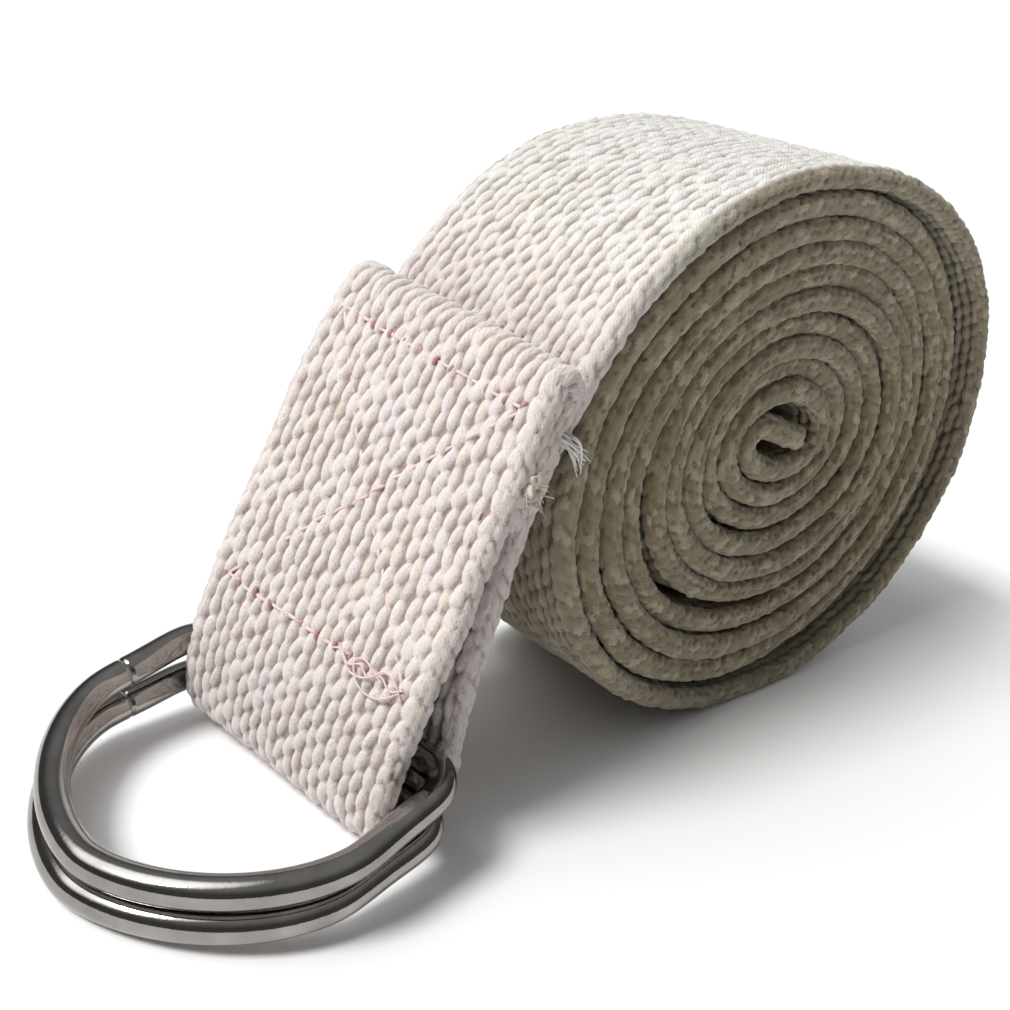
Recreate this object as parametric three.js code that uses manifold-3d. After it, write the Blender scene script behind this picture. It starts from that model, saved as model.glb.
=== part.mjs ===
// Cotton stretching strap, rolled up and standing on the edge of its own curve.
// The strap's outer end goes round two D-rings and is sewn back on itself as a tab.
// Frame: millimetres, +Z up, the roll's axis along Y, the D-rings toward -X,
// the origin in the middle of the flat foot the roll rests on.
import * as THREE from 'three';
import Module from 'manifold-3d';
import { mergeVertices } from 'three/addons/utils/BufferGeometryUtils.js';

const wasm = await Module();
wasm.setup();

// ---- webbing ----
const WEB_WIDTH = 38;
const WEB_THICK = 3.1;
const LAYER_GAP = 0.4;

// ---- the roll: ovals through the middle of the cloth, seen along Y ----
const OUTER_HALF_LONG = 55.4;
const OUTER_HALF_SHORT = 42.1;
const OUTER_X = -3.2;
const ROLL_TILT = -6;
const LOOSE_TURN_LONG = 5.7;
const SECOND_X = -7.6;
const SECOND_RISE = 0.3;
const CORE_X = -13.2;
const CORE_RISE = 4.0;
const CORE_HALF_LONG = 9.0;
const CORE_HALF_SHORT = 4.6;
const TURN_SLACK = 0.74;
const END_RISE = 2.3;
const END_REACH = 5;
const LEAVE_ANGLE = 155;
const FOOT_HALF = 8;
const FOOT_SINK = 0.4;

// ---- outer turn, cut into stiff lengths that hinge as it unrolls ----
const TURN_PIECES = 15;
const CUT_GAP = 0.36;
const UNROLL_SHARE = 0.85;

// ---- tab and the loop round the rings ----
const TAB_RISE = 2.7;
const HEM_DROP = 0.7;
const HEM_LENGTH = 19;
const LOOP_SLACK = 3.5;
const LOOP_OUT = 19.65;
const LOOP_CLEAR = 0.2;

// ---- box-and-cross seam ----
const THREAD_WIDTH = 0.9;
const THREAD_THICK = 0.6;
const THREAD_GAP = 0.3;
const SEAM_INSET = 3.5;
const SEAM_DROP = 12.6;
const SEAM_RISE = 18;

// ---- D-rings ----
const RING_WIRE = 3.9;
const RING_SIDE_GAP = 1.4;
const RING_DEPTH = 34.6;
const RING_BOW = 19.2;
const RING_BOW_POWER = 1.7;
const RING_CORNER = 5;
const BAR_BACK = 0.45;
const BAR_GAP = 2.1;
const BAR_LIFT = 1.35;
const RING_REST = 0.1;
const RING_STACK = 0.35;

const LOOP_INNER = RING_WIRE + LOOP_SLACK;
const BAR_STEP = RING_WIRE + BAR_GAP;
const LOWER_BAR_Z = LOOP_CLEAR + WEB_THICK + BAR_LIFT + RING_WIRE / 2;

const RAD = Math.PI / 180;
const cotton = new THREE.MeshStandardMaterial({ color: 0xe6dac6, roughness: 0.95, metalness: 0 });
cotton.name = 'cotton_webbing';
const thread = new THREE.MeshStandardMaterial({ color: 0xe9c9c0, roughness: 0.8, metalness: 0 });
thread.name = 'sewing_thread';
const nickel = new THREE.MeshStandardMaterial({ color: 0xb9b6b0, roughness: 0.18, metalness: 1 });
nickel.name = 'nickel_plate';

const add = (p, d, k) => [p[0] + d[0] * k, p[1] + d[1] * k];
const mix = (a, b, t) => a + (b - a) * t;
const smooth = (t) => t * t * (3 - 2 * t);

// ---- the spiral: turn number 0 is where the strap leaves the roll ----
const OUTER_Z = Math.hypot(OUTER_HALF_LONG * Math.sin(ROLL_TILT * RAD),
  OUTER_HALF_SHORT * Math.cos(ROLL_TILT * RAD)) + WEB_THICK / 2 - FOOT_SINK;
const SECOND_SHORT = OUTER_HALF_SHORT - WEB_THICK - LAYER_GAP;
const SECOND_LONG = OUTER_HALF_LONG - LOOSE_TURN_LONG;
const PITCH = WEB_THICK + TURN_SLACK;
const SECOND_TURN = 1.06;
const LAST_TURN = SECOND_TURN + (SECOND_SHORT - CORE_HALF_SHORT) / PITCH;

function ovalAt(turn) {
  const outer = [OUTER_X, OUTER_Z, OUTER_HALF_LONG, OUTER_HALF_SHORT, ROLL_TILT];
  const second = [SECOND_X, OUTER_Z + SECOND_RISE, SECOND_LONG, SECOND_SHORT, ROLL_TILT];
  const core = [CORE_X, OUTER_Z + CORE_RISE, CORE_HALF_LONG, CORE_HALF_SHORT, ROLL_TILT / 2];
  if (turn <= 0.66) return outer;
  if (turn <= SECOND_TURN) {
    const t = smooth((turn - 0.66) / (SECOND_TURN - 0.66));
    return outer.map((v, i) => mix(v, second[i], t));
  }
  const t = (turn - SECOND_TURN) / (LAST_TURN - SECOND_TURN);
  return second.map((v, i) => mix(v, core[i], t));
}

function spiral(turn) {
  const [cx, cz, a, b, tilt] = ovalAt(turn);
  const angle = (LEAVE_ANGLE - 360 * turn - tilt) * RAD;
  const u = a * Math.cos(angle);
  const v = b * Math.sin(angle);
  const c = Math.cos(tilt * RAD);
  const s = Math.sin(tilt * RAD);
  return [cx + u * c - v * s, Math.max(cz + u * s + v * c, WEB_THICK / 2)];
}

function spiralNormal(turn) {
  const p = spiral(turn - 0.0015);
  const q = spiral(turn + 0.0015);
  const l = Math.hypot(q[0] - p[0], q[1] - p[1]);
  return [-(q[1] - p[1]) / l, (q[0] - p[0]) / l];
}

// turn number at which the outer turn passes a given x along the foot
function footTurn(x) {
  let lo = 0.5;
  let hi = 0.85;
  for (let i = 0; i < 50; i += 1) {
    const m = (lo + hi) / 2;
    if (spiral(m)[0] > x) lo = m;
    else hi = m;
  }
  return (lo + hi) / 2;
}

// ---- planar paths ----
function smoothPath(points, step) {
  const curve = new THREE.CatmullRomCurve3(points.map((p) => new THREE.Vector3(p[0], 0, p[1])), false, 'centripetal');
  curve.arcLengthDivisions = 1200;
  const n = Math.max(2, Math.round(curve.getLength() / step));
  return curve.getSpacedPoints(n).map((v) => [v.x, v.z]);
}

function normals(path) {
  return path.map((p, i) => {
    const a = path[Math.max(i - 1, 0)];
    const b = path[Math.min(i + 1, path.length - 1)];
    const l = Math.hypot(b[0] - a[0], b[1] - a[1]);
    return [-(b[1] - a[1]) / l, (b[0] - a[0]) / l];
  });
}

function lengths(path) {
  const out = [0];
  for (let i = 1; i < path.length; i += 1) {
    out.push(out[i - 1] + Math.hypot(path[i][0] - path[i - 1][0], path[i][1] - path[i - 1][1]));
  }
  return out;
}

function pieceOf(path, from, to) {
  const s = lengths(path);
  const at = (v) => {
    let i = s.findIndex((x) => x >= v);
    if (i <= 0) i = 1;
    const t = (v - s[i - 1]) / (s[i] - s[i - 1]);
    return [mix(path[i - 1][0], path[i][0], t), mix(path[i - 1][1], path[i][1], t)];
  };
  return [at(from), ...path.filter((_, i) => s[i] > from + 0.4 && s[i] < to - 0.4), at(to)];
}

// a strip of cloth along a planar path, from one side offset to the other, as a solid across Y
function strip(path, low, high, width) {
  const n = normals(path);
  const outline = path.map((p, i) => add(p, n[i], high));
  outline.push(...path.map((p, i) => add(p, n[i], low)).reverse());
  const shape = new THREE.Shape(outline.map((p) => new THREE.Vector2(p[0], p[1])));
  const g = new THREE.ExtrudeGeometry(shape, { depth: width, bevelEnabled: false, steps: 1 });
  g.rotateX(Math.PI / 2);
  g.translate(0, width / 2, 0);
  return g;
}

function solid(geometry) {
  const g = geometry.clone();
  g.deleteAttribute('normal');
  g.deleteAttribute('uv');
  const m = mergeVertices(g, 1e-4);
  return new wasm.Manifold(new wasm.Mesh({
    numProp: 3,
    vertProperties: new Float32Array(m.attributes.position.array),
    triVerts: new Uint32Array(m.index.array),
  }));
}

function geometryOf(manifold) {
  const m = manifold.getMesh();
  const g = new THREE.BufferGeometry();
  g.setAttribute('position', new THREE.BufferAttribute(new Float32Array(m.vertProperties), 3));
  g.setIndex(new THREE.BufferAttribute(new Uint32Array(m.triVerts), 1));
  g.computeVertexNormals();
  return g;
}

const model = new THREE.Group();
model.name = 'stretching_strap';
function addMesh(name, geometry, material) {
  const mesh = new THREE.Mesh(geometry, material);
  mesh.name = name;
  model.add(mesh);
}

// ---- inner turns and the foot: one stiff coil ----
const rollStart = footTurn(FOOT_HALF);
const roll = [];
const ROLL_STEPS = Math.round((LAST_TURN - rollStart) * 44);
for (let i = 0; i <= ROLL_STEPS; i += 1) roll.push(spiral(mix(rollStart, LAST_TURN, i / ROLL_STEPS)));
// the strap's inner end turns back across the middle of the coil
const [coreX, coreZ] = ovalAt(LAST_TURN);
const innerEnd = smoothPath([...roll.slice(-3), [coreX - 0.86 * CORE_HALF_LONG, coreZ + 0.85 * END_RISE],
  [coreX - 0.55 * CORE_HALF_LONG, coreZ + END_RISE], [coreX, coreZ + 0.4 * END_RISE],
  [coreX + END_REACH, coreZ - 0.25 * END_RISE]], 1.1);
roll.splice(-3, 3, ...innerEnd);
addMesh('webbing_roll', strip(roll, -WEB_THICK / 2, WEB_THICK / 2, WEB_WIDTH), cotton);

// ---- path of the outer turn from the foot to the tab, then down and round the rings ----
const JOIN_TURN = 0.13;
const outerTurn = [];
for (let i = 0; i <= 40; i += 1) outerTurn.push(spiral(mix(rollStart, JOIN_TURN, i / 40)));
for (const back of [1.1, 1.06, 1.03, 1.0]) {
  outerTurn.push(add(spiral(back), spiralNormal(back), WEB_THICK + LAYER_GAP + 0.15));
}
const loopRadius = (LOOP_INNER + WEB_THICK) / 2;
const loopZ = loopRadius + WEB_THICK / 2 + LOOP_CLEAR;
const leave = outerTurn[outerTurn.length - 1];
const LOOP_X = leave[0] - LOOP_OUT;
const BAR_X = LOOP_X - BAR_BACK;
const TAB_TOP_Z = leave[1] + TAB_RISE;
const HEM_TOP_Z = leave[1] - HEM_DROP;
const SEAM_LOW_Z = loopZ + SEAM_RISE;
const mainLow = [LOOP_X + loopRadius, loopZ + 1.5];
const bezier = new THREE.CubicBezierCurve(new THREE.Vector2(...leave),
  new THREE.Vector2(leave[0] - 6.6, leave[1] - 13.5), new THREE.Vector2(mainLow[0] - 0.2, mainLow[1] + 22),
  new THREE.Vector2(...mainLow));
const mainDown = bezier.getPoints(14).slice(1).map((v) => [v.x, v.y]);
const innerTurns = [];
for (let turn = 0.8; turn < 1.4; turn += 0.0025) innerTurns.push(spiral(turn));
function nearestTurn(p) {
  let near = innerTurns[0];
  let least = Infinity;
  for (const q of innerTurns) {
    const d = Math.hypot(p[0] - q[0], p[1] - q[1]);
    if (d < least) [least, near] = [d, q];
  }
  return [near, least];
}
function clearOfRoll(p) {
  const [near, least] = nearestTurn(p);
  const wanted = WEB_THICK + LAYER_GAP + 0.05;
  return least >= wanted ? p : add(near, [(p[0] - near[0]) / least, (p[1] - near[1]) / least], wanted);
}
const strapPath = smoothPath(smoothPath([...outerTurn, ...mainDown], 1.5).map(clearOfRoll), 1.2);
const half = strapPath.length / 2;
const tabStart = strapPath.findIndex((p, i) => i > half && p[1] < TAB_TOP_Z);
const turnPath = strapPath.slice(0, tabStart + 1);
const mainPath = strapPath.slice(tabStart);
// the seam starts below the hem, where its inner thread has room between the strap and the roll
const seamRoom = WEB_THICK + THREAD_THICK + 2 * THREAD_GAP;
const roomZ = mainPath.find((p) => nearestTurn(p)[1] > seamRoom)[1];
const SEAM_TOP_Z = Math.min(HEM_TOP_Z - SEAM_DROP, roomZ - THREAD_WIDTH);

const turnLength = lengths(turnPath)[turnPath.length - 1];
const cuts = [];
for (let i = 0; i <= TURN_PIECES; i += 1) cuts.push((turnLength * i) / TURN_PIECES);
for (let i = 0; i < TURN_PIECES; i += 1) {
  const from = cuts[i] + (i ? CUT_GAP / 2 : 1.5 * CUT_GAP);
  const to = cuts[i + 1] - CUT_GAP / 2;
  const name = `webbing_turn_${String(i + 1).padStart(2, '0')}`;
  addMesh(name, strip(pieceOf(turnPath, from, to), -WEB_THICK / 2, WEB_THICK / 2, WEB_WIDTH), cotton);
}

// ---- tab: down the main layer, round the bars, back up outside it, and the raw end turned under ----
const mainN = normals(mainPath);
const stack = WEB_THICK + LAYER_GAP;
const layerAt = (z, offset) => {
  const i = mainPath.findIndex((p) => p[1] <= z);
  return add(mainPath[i], mainN[i], offset);
};
const topLayer = [];
const hemLayer = [];
const hemLowZ = HEM_TOP_Z - HEM_LENGTH;
for (let z = loopZ + 6; z <= hemLowZ; z += 5) {
  const t = smooth((z - loopZ) / (hemLowZ - loopZ));
  topLayer.push(layerAt(z, -mix(2 * loopRadius, 2 * stack, t)));
}
for (let z = hemLowZ + 2; z < HEM_TOP_Z - stack - 1; z += 4) topLayer.push(layerAt(z, -2 * stack));
for (let z = HEM_TOP_Z - stack - 1.5; z > hemLowZ; z -= 4) hemLayer.push(layerAt(z, -stack));
const foldAt = mainPath.findIndex((p) => p[1] <= HEM_TOP_Z - stack / 2);
const foldMid = add(mainPath[foldAt], mainN[foldAt], -1.5 * stack);
const foldUp = [-mainN[foldAt][1], mainN[foldAt][0]];
const foldArc = [];
for (let a = 0; a <= 180; a += 20) {
  foldArc.push(add(add(foldMid, mainN[foldAt], (-stack / 2) * Math.cos(a * RAD)), foldUp, (stack / 2) * Math.sin(a * RAD)));
}
const loopArc = [];
for (let a = 0; a <= 180; a += 15) {
  loopArc.push([LOOP_X + loopRadius * Math.cos(a * RAD), loopZ - loopRadius * Math.sin(a * RAD)]);
}
const startPoint = turnPath[turnPath.length - 1];
const tabMain = pieceOf([startPoint, ...mainPath.slice(1)], CUT_GAP / 2, lengths(mainPath)[mainPath.length - 1] - 1)
  .filter((p, i) => i % 3 === 0 || i < 2);
const tabPath = smoothPath([...tabMain, ...loopArc, ...topLayer, ...foldArc, ...hemLayer], 1.3);
addMesh('webbing_tab', strip(tabPath, -WEB_THICK / 2, WEB_THICK / 2, WEB_WIDTH), cotton);

// ---- seam threads: the box and cross cut out of a thin skin over each face of the tab ----
function bar(y0, z0, y1, z1) {
  const l = Math.hypot(y1 - y0, z1 - z0) + THREAD_WIDTH;
  const g = new THREE.BoxGeometry(80, l, THREAD_WIDTH);
  g.rotateX(Math.atan2(z1 - z0, y1 - y0));
  g.translate(LOOP_X, (y0 + y1) / 2, (z0 + z1) / 2);
  return solid(g);
}
const seamY = WEB_WIDTH / 2 - SEAM_INSET;
const seamPattern = [
  bar(-seamY, SEAM_LOW_Z, seamY, SEAM_LOW_Z), bar(-seamY, SEAM_TOP_Z, seamY, SEAM_TOP_Z),
  bar(-seamY, SEAM_LOW_Z, -seamY, SEAM_TOP_Z), bar(seamY, SEAM_LOW_Z, seamY, SEAM_TOP_Z),
  bar(-seamY, SEAM_LOW_Z, seamY, SEAM_TOP_Z), bar(-seamY, SEAM_TOP_Z, seamY, SEAM_LOW_Z),
].reduce((a, b) => a.add(b));
const skinLow = WEB_THICK / 2 + THREAD_GAP;
const seamReach = (p) => p[1] > SEAM_LOW_Z - 4 && p[1] < SEAM_TOP_Z + 4;
const tabTurn = tabPath.findIndex((p) => p[0] < LOOP_X);
const hemFold = tabPath.reduce((best, p, i) => (i > tabTurn && p[1] > tabPath[best][1] ? i : best), tabTurn);
const frontSkin = solid(strip(tabPath.filter((p, i) => i > tabTurn && i < hemFold && seamReach(p)),
  skinLow, skinLow + THREAD_THICK, WEB_WIDTH));
const backSkin = solid(strip(tabPath.filter((p, i) => i < tabTurn && seamReach(p)),
  skinLow, skinLow + THREAD_THICK, WEB_WIDTH));
addMesh('seam_needle_thread', geometryOf(frontSkin.intersect(seamPattern)), thread);
addMesh('seam_bobbin_thread', geometryOf(backSkin.intersect(seamPattern)), thread);

// ---- D-rings: a straight bar inside the loop, two sides, and a full bow ----
const ringHalf = WEB_WIDTH / 2 + RING_SIDE_GAP + RING_WIRE / 2;
function ringGeometry(barZ, restZ) {
  const pts = [];
  for (let i = 0; i <= 4; i += 1) pts.push([0, mix(-ringHalf + RING_CORNER, ringHalf - RING_CORNER, i / 4)]);
  for (let a = 22.5; a < 90; a += 22.5) {
    pts.push([RING_CORNER * (1 - Math.cos(a * RAD)), ringHalf - RING_CORNER * (1 - Math.sin(a * RAD))]);
  }
  const side = RING_DEPTH - RING_BOW;
  pts.push([RING_CORNER, ringHalf]);
  pts.push([(RING_CORNER + side) / 2, ringHalf]);
  for (let a = 0; a <= 180; a += 10) {
    const c = Math.cos(a * RAD);
    const s = Math.sin(a * RAD);
    pts.push([side + RING_BOW * Math.abs(s) ** (2 / RING_BOW_POWER),
      ringHalf * Math.sign(c) * Math.abs(c) ** (2 / RING_BOW_POWER)]);
  }
  pts.push([(RING_CORNER + side) / 2, -ringHalf]);
  pts.push([RING_CORNER, -ringHalf]);
  for (let a = 67.5; a > 0; a -= 22.5) {
    pts.push([RING_CORNER * (1 - Math.cos(a * RAD)), -ringHalf + RING_CORNER * (1 - Math.sin(a * RAD))]);
  }
  const tilt = Math.asin((barZ - restZ) / RING_DEPTH);
  const curve = new THREE.CatmullRomCurve3(pts.map((p) => new THREE.Vector3(
    BAR_X - p[0] * Math.cos(tilt), p[1], barZ - p[0] * Math.sin(tilt))), true, 'centripetal');
  curve.arcLengthDivisions = 800;
  const g = new THREE.TubeGeometry(curve, 110, RING_WIRE / 2, 12, true);
  g.deleteAttribute('uv');
  return mergeVertices(g, 1e-4);
}
const lowerRest = RING_WIRE / 2 + RING_REST;
addMesh('d_ring_lower', ringGeometry(LOWER_BAR_Z, lowerRest), nickel);
addMesh('d_ring_upper', ringGeometry(LOWER_BAR_Z + BAR_STEP, lowerRest + RING_WIRE + RING_STACK), nickel);

export default model;
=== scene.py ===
"""Cotton stretching strap: rolled webbing, a sewn tab and two D-rings, dressed over its CAD frame."""
import logging
import math
from dataclasses import dataclass, field
from typing import Callable, Sequence

import bpy
import numpy as np
from mathutils import Matrix, Vector


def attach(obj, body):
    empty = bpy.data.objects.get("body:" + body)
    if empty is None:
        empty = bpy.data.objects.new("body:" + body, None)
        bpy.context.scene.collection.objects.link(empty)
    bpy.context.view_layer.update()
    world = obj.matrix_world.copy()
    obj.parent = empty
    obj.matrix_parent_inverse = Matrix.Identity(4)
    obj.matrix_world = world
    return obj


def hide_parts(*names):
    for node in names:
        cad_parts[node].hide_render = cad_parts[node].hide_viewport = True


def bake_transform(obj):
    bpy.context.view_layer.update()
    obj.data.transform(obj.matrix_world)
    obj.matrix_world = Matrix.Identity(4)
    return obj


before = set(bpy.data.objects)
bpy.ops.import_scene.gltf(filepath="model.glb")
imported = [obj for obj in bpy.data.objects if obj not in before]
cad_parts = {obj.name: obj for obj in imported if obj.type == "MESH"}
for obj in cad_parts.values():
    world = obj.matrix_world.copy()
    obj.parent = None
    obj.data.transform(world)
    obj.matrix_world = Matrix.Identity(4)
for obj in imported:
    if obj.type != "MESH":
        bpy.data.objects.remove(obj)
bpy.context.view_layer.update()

MM = 0.001
LOG = logging.getLogger("strap")
Array = np.ndarray


# ---------------------------------------------------------------- shader helpers
class Sock:
    """A shader socket that takes part in Python expressions."""

    def __init__(self, book: "NodeBook", link: bpy.types.NodeSocket) -> None:
        """Keeps the socket and the node book that it belongs to."""
        self.book = book
        self.link = link

    def _math(self, operation: str, a: object, b: object = 0.0) -> "Sock":
        """Adds a Math node.

        Args:
            operation: the Math node's operation.
            a: first value or socket.
            b: second value or socket.

        Returns:
            The node's result.
        """
        return self.book.node("ShaderNodeMath", {"operation": operation}, {0: a, 1: b})

    def __add__(self, other: object) -> "Sock":
        """self + other."""
        return self._math("ADD", self, other)

    __radd__ = __add__

    def __mul__(self, other: object) -> "Sock":
        """self * other."""
        return self._math("MULTIPLY", self, other)

    __rmul__ = __mul__

    def __sub__(self, other: object) -> "Sock":
        """self - other."""
        return self._math("SUBTRACT", self, other)

    def __rsub__(self, other: object) -> "Sock":
        """other - self."""
        return self._math("SUBTRACT", other, self)

    def clamp(self) -> "Sock":
        """self held between 0 and 1."""
        return self.book.node("ShaderNodeClamp", {}, {0: self, 1: 0.0, 2: 1.0})

    def sine(self) -> "Sock":
        """sin(self)."""
        return self._math("SINE", self)


class NodeBook:
    """Builds one material's node tree."""

    def __init__(self, name: str) -> None:
        """Makes a material with an empty tree and its output."""
        self.material = bpy.data.materials.new(name)
        self.material.use_nodes = True
        self.tree = self.material.node_tree
        self.tree.nodes.clear()
        self.output = self.tree.nodes.new("ShaderNodeOutputMaterial")

    def node(self, kind: str, settings: dict, inputs: dict, out: int | str = 0) -> Sock:
        """Adds one node.

        Args:
            kind: the node's type name.
            settings: the node's own properties, set first.
            inputs: socket index or name to a value or a Sock.
            out: which output to give back.

        Returns:
            The chosen output.
        """
        made = self.tree.nodes.new(kind)
        for key, value in settings.items():
            setattr(made, key, value)
        for key, value in inputs.items():
            socket = made.inputs[key]
            if isinstance(value, Sock):
                self.tree.links.new(value.link, socket)
            else:
                socket.default_value = value
        return Sock(self, made.outputs[out])

    def attribute(self, name: str) -> Sock:
        """The value of a mesh attribute."""
        return self.node("ShaderNodeAttribute", {"attribute_name": name}, {}, "Fac")

    def mix(self, amount: object, a: object, b: object) -> Sock:
        """Mixes two colours.

        Args:
            amount: factor, a value or a socket.
            a: first colour.
            b: second colour.

        Returns:
            The mixed colour.
        """
        a = a if isinstance(a, Sock) else (*a, 1.0)
        b = b if isinstance(b, Sock) else (*b, 1.0)
        return self.node("ShaderNodeMix", {"data_type": "RGBA"}, {0: amount, 6: a, 7: b}, 2)

    def object_point(self) -> Sock:
        """Object coordinates."""
        return self.node("ShaderNodeTexCoord", {}, {}, "Object")

    def noise(self, point: Sock, scale: float, detail: float = 3.0) -> Sock:
        """Noise over a point.

        Args:
            point: where it is read.
            scale: cells per unit.
            detail: octaves.

        Returns:
            A value from 0 to 1.
        """
        return self.node("ShaderNodeTexNoise", {}, {"Vector": point, "Scale": scale, "Detail": detail}, "Fac")

    def bump(self, height: Sock, distance: float, strength: float) -> Sock:
        """A bumped normal.

        Args:
            height: the height field.
            distance: metres that a height of 1 stands for.
            strength: 0 to 1.

        Returns:
            The normal.
        """
        inputs = {"Height": height, "Distance": distance, "Strength": strength}
        return self.node("ShaderNodeBump", {}, inputs, "Normal")

    def surface(self, **values: object) -> bpy.types.Material:
        """Closes the tree with a Principled shader.

        Args:
            **values: socket names, with _ for a space, to values or sockets.

        Returns:
            The material.
        """
        inputs = {key.replace("_", " "): value for key, value in values.items()}
        shader = self.node("ShaderNodeBsdfPrincipled", {}, inputs)
        self.tree.links.new(shader.link, self.output.inputs["Surface"])
        return self.material


# ---------------------------------------------------------------- finishes
@dataclass(frozen=True)
class CottonFinish:
    """Undyed cotton webbing: cream grains, painted shade in the weave's hollows, painted highlights on the
    grain tops, browner selvedges darkened further by painted shade, a pinkish tab.
    """

    cream: tuple = (0.745, 0.74, 0.72)
    blush: tuple = (0.715, 0.645, 0.64)
    # painted shade: colour laid into the weave's hollows in place of the shade that falls there
    painted_hollow_shade: tuple = (0.25, 0.18, 0.14)
    # selvedge colour: partly the browner tone of the cloth's edges, partly painted shade on edges that face
    # away from the light
    selvedge: tuple = (0.198, 0.152, 0.074)
    fleck: tuple = (0.72, 0.60, 0.46)
    pale_selvedge: tuple = (0.46, 0.41, 0.29)
    # painted shade for the hollows of the darkened cloth
    painted_selvedge_hollow_shade: tuple = (0.045, 0.032, 0.018)
    # painted highlight: colours laid on the raised grain tops in place of light catching them
    crown: tuple = (0.88, 0.86, 0.82)
    painted_selvedge_highlight: tuple = (0.34, 0.28, 0.18)
    ply_pitch: float = 0.42
    fibre_scale: tuple = (5.0, 1.6, 1.0)
    fuzz_scale: float = 5200.0
    nap: float = 0.00017

    def make(self) -> bpy.types.Material:
        """Builds the material."""
        book = NodeBook("cotton_webbing")
        relief, grain, blush, edge = map(book.attribute, ("relief", "grain", "blush", "edge"))
        point = book.object_point()
        colour = self.colour(book, point, relief, grain, blush, edge)
        flat = book.node("ShaderNodeUVMap", {"uv_map": "weave"}, {}, "UV")
        across = book.node("ShaderNodeSeparateXYZ", {}, {0: flat}, "X")
        along = Sock(book, across.link.node.outputs["Y"])
        ply = ((across * 0.82 + along * 0.57) * (2 * math.pi / self.ply_pitch)).sine() * 0.5 + 0.5
        stretched = book.node("ShaderNodeMapping", {}, {"Vector": flat, "Scale": self.fibre_scale})
        fibre = book.noise(stretched, 1.0, 4.0)
        fuzz = book.noise(point, self.fuzz_scale, 3.0)
        normal = book.bump(ply * 0.22 + fibre * 0.8 + fuzz * 1.1, self.nap, 0.9)
        return book.surface(Base_Color=colour, Roughness=0.93, Sheen_Weight=0.35, Sheen_Roughness=0.55,
                            Specular_IOR_Level=0.18, Normal=normal)

    def colour(self, book: NodeBook, point: Sock, relief: Sock, grain: Sock, blush: Sock, edge: Sock) -> Sock:
        """Colour from clean grain down to the darkened selvedge, with painted shade in the hollows and
        painted highlights on the grain tops.

        Args:
            book: the material's node book.
            point: Object coordinates.
            relief: height of the weave.
            grain: the grain's random number.
            blush: 1 on the pinkish tab.
            edge: 1 where the cloth is darkened, by the selvedge's tone and by painted shade.

        Returns:
            The colour.
        """
        colour = book.mix(blush, self.cream, self.blush)
        cloud = book.noise(point, 60.0, 2.0)
        colour = book.mix((cloud * 0.6 - 0.12).clamp(), colour, book.mix(0.5, colour, self.fleck))
        colour = book.mix((grain * 4.0 - 3.1).clamp() * 0.45, colour, self.fleck)
        # Darkening by the edge attribute: the selvedge's browner tone with painted shade, and painted shade
        # on the coil's pressed layers and the outer turn's inside.
        colour = book.mix(edge, colour, self.selvedge)
        colour = book.mix(edge * (grain * 2.0 - 1.0).clamp() * 0.7, colour, self.pale_selvedge)
        # Painted shade: the lower the relief, the more the colour is pulled toward the hollow shade colour,
        # darker on the selvedges and darkened cloth.
        depth = (1.0 - relief * 1.5).clamp() * (1.0 - edge * 0.25) * 0.85
        colour = book.mix(depth, colour, book.mix(edge, self.painted_hollow_shade, self.painted_selvedge_hollow_shade))
        # Painted highlight: the highest grains are lightened toward a highlight colour, dimmer on the
        # selvedges and darkened cloth.
        lift = (relief * 1.6 - 0.85).clamp() * (0.25 + grain * 0.35) * 0.45
        return book.mix(lift, colour, book.mix(edge, self.crown, self.painted_selvedge_highlight))


@dataclass(frozen=True)
class ThreadFinish:
    """Sewing thread, twisted, with a soft gloss."""

    name: str
    colour: tuple
    shade: tuple
    pit: tuple = (0.30, 0.12, 0.12)

    def make(self) -> bpy.types.Material:
        """Builds the material."""
        book = NodeBook(self.name)
        point = book.object_point()
        tint = book.mix(book.noise(point, 900.0, 2.0), self.colour, self.shade)
        tint = book.mix((book.attribute("end") * 2.6 - 1.45).clamp(), tint, self.pit)
        twist = book.noise(point, 6500.0, 2.0)
        return book.surface(Base_Color=tint, Roughness=0.62, Sheen_Weight=0.25,
                            Normal=book.bump(twist, 0.00006, 0.6))


@dataclass(frozen=True)
class NickelFinish:
    """Polished nickel plate with a fine brushed haze and handling marks."""

    colour: tuple = (0.37, 0.355, 0.335)
    dull: tuple = (0.22, 0.205, 0.19)

    def make(self) -> bpy.types.Material:
        """Builds the material."""
        book = NodeBook("nickel_plate")
        point = book.object_point()
        haze = book.noise(point, 240.0, 4.0)
        speck = book.noise(point, 2600.0, 3.0)
        colour = book.mix((haze * 1.6 - 0.45).clamp(), self.colour, self.dull)
        rough = haze * 0.06 + (speck * 3.0 - 1.75).clamp() * 0.16 + 0.045
        normal = book.bump(speck * 0.5 + haze, 0.00003, 0.5)
        return book.surface(Base_Color=colour, Metallic=1.0, Roughness=rough, Normal=normal)


@dataclass(frozen=True)
class FloorFinish:
    """Plain pale floor."""

    colour: tuple = (0.90, 0.90, 0.90)

    def make(self) -> bpy.types.Material:
        """Builds the material."""
        colour = (*self.colour, 1.0)
        return NodeBook("pale_floor").surface(Base_Color=colour, Roughness=0.9, Specular_IOR_Level=0.1)


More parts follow.
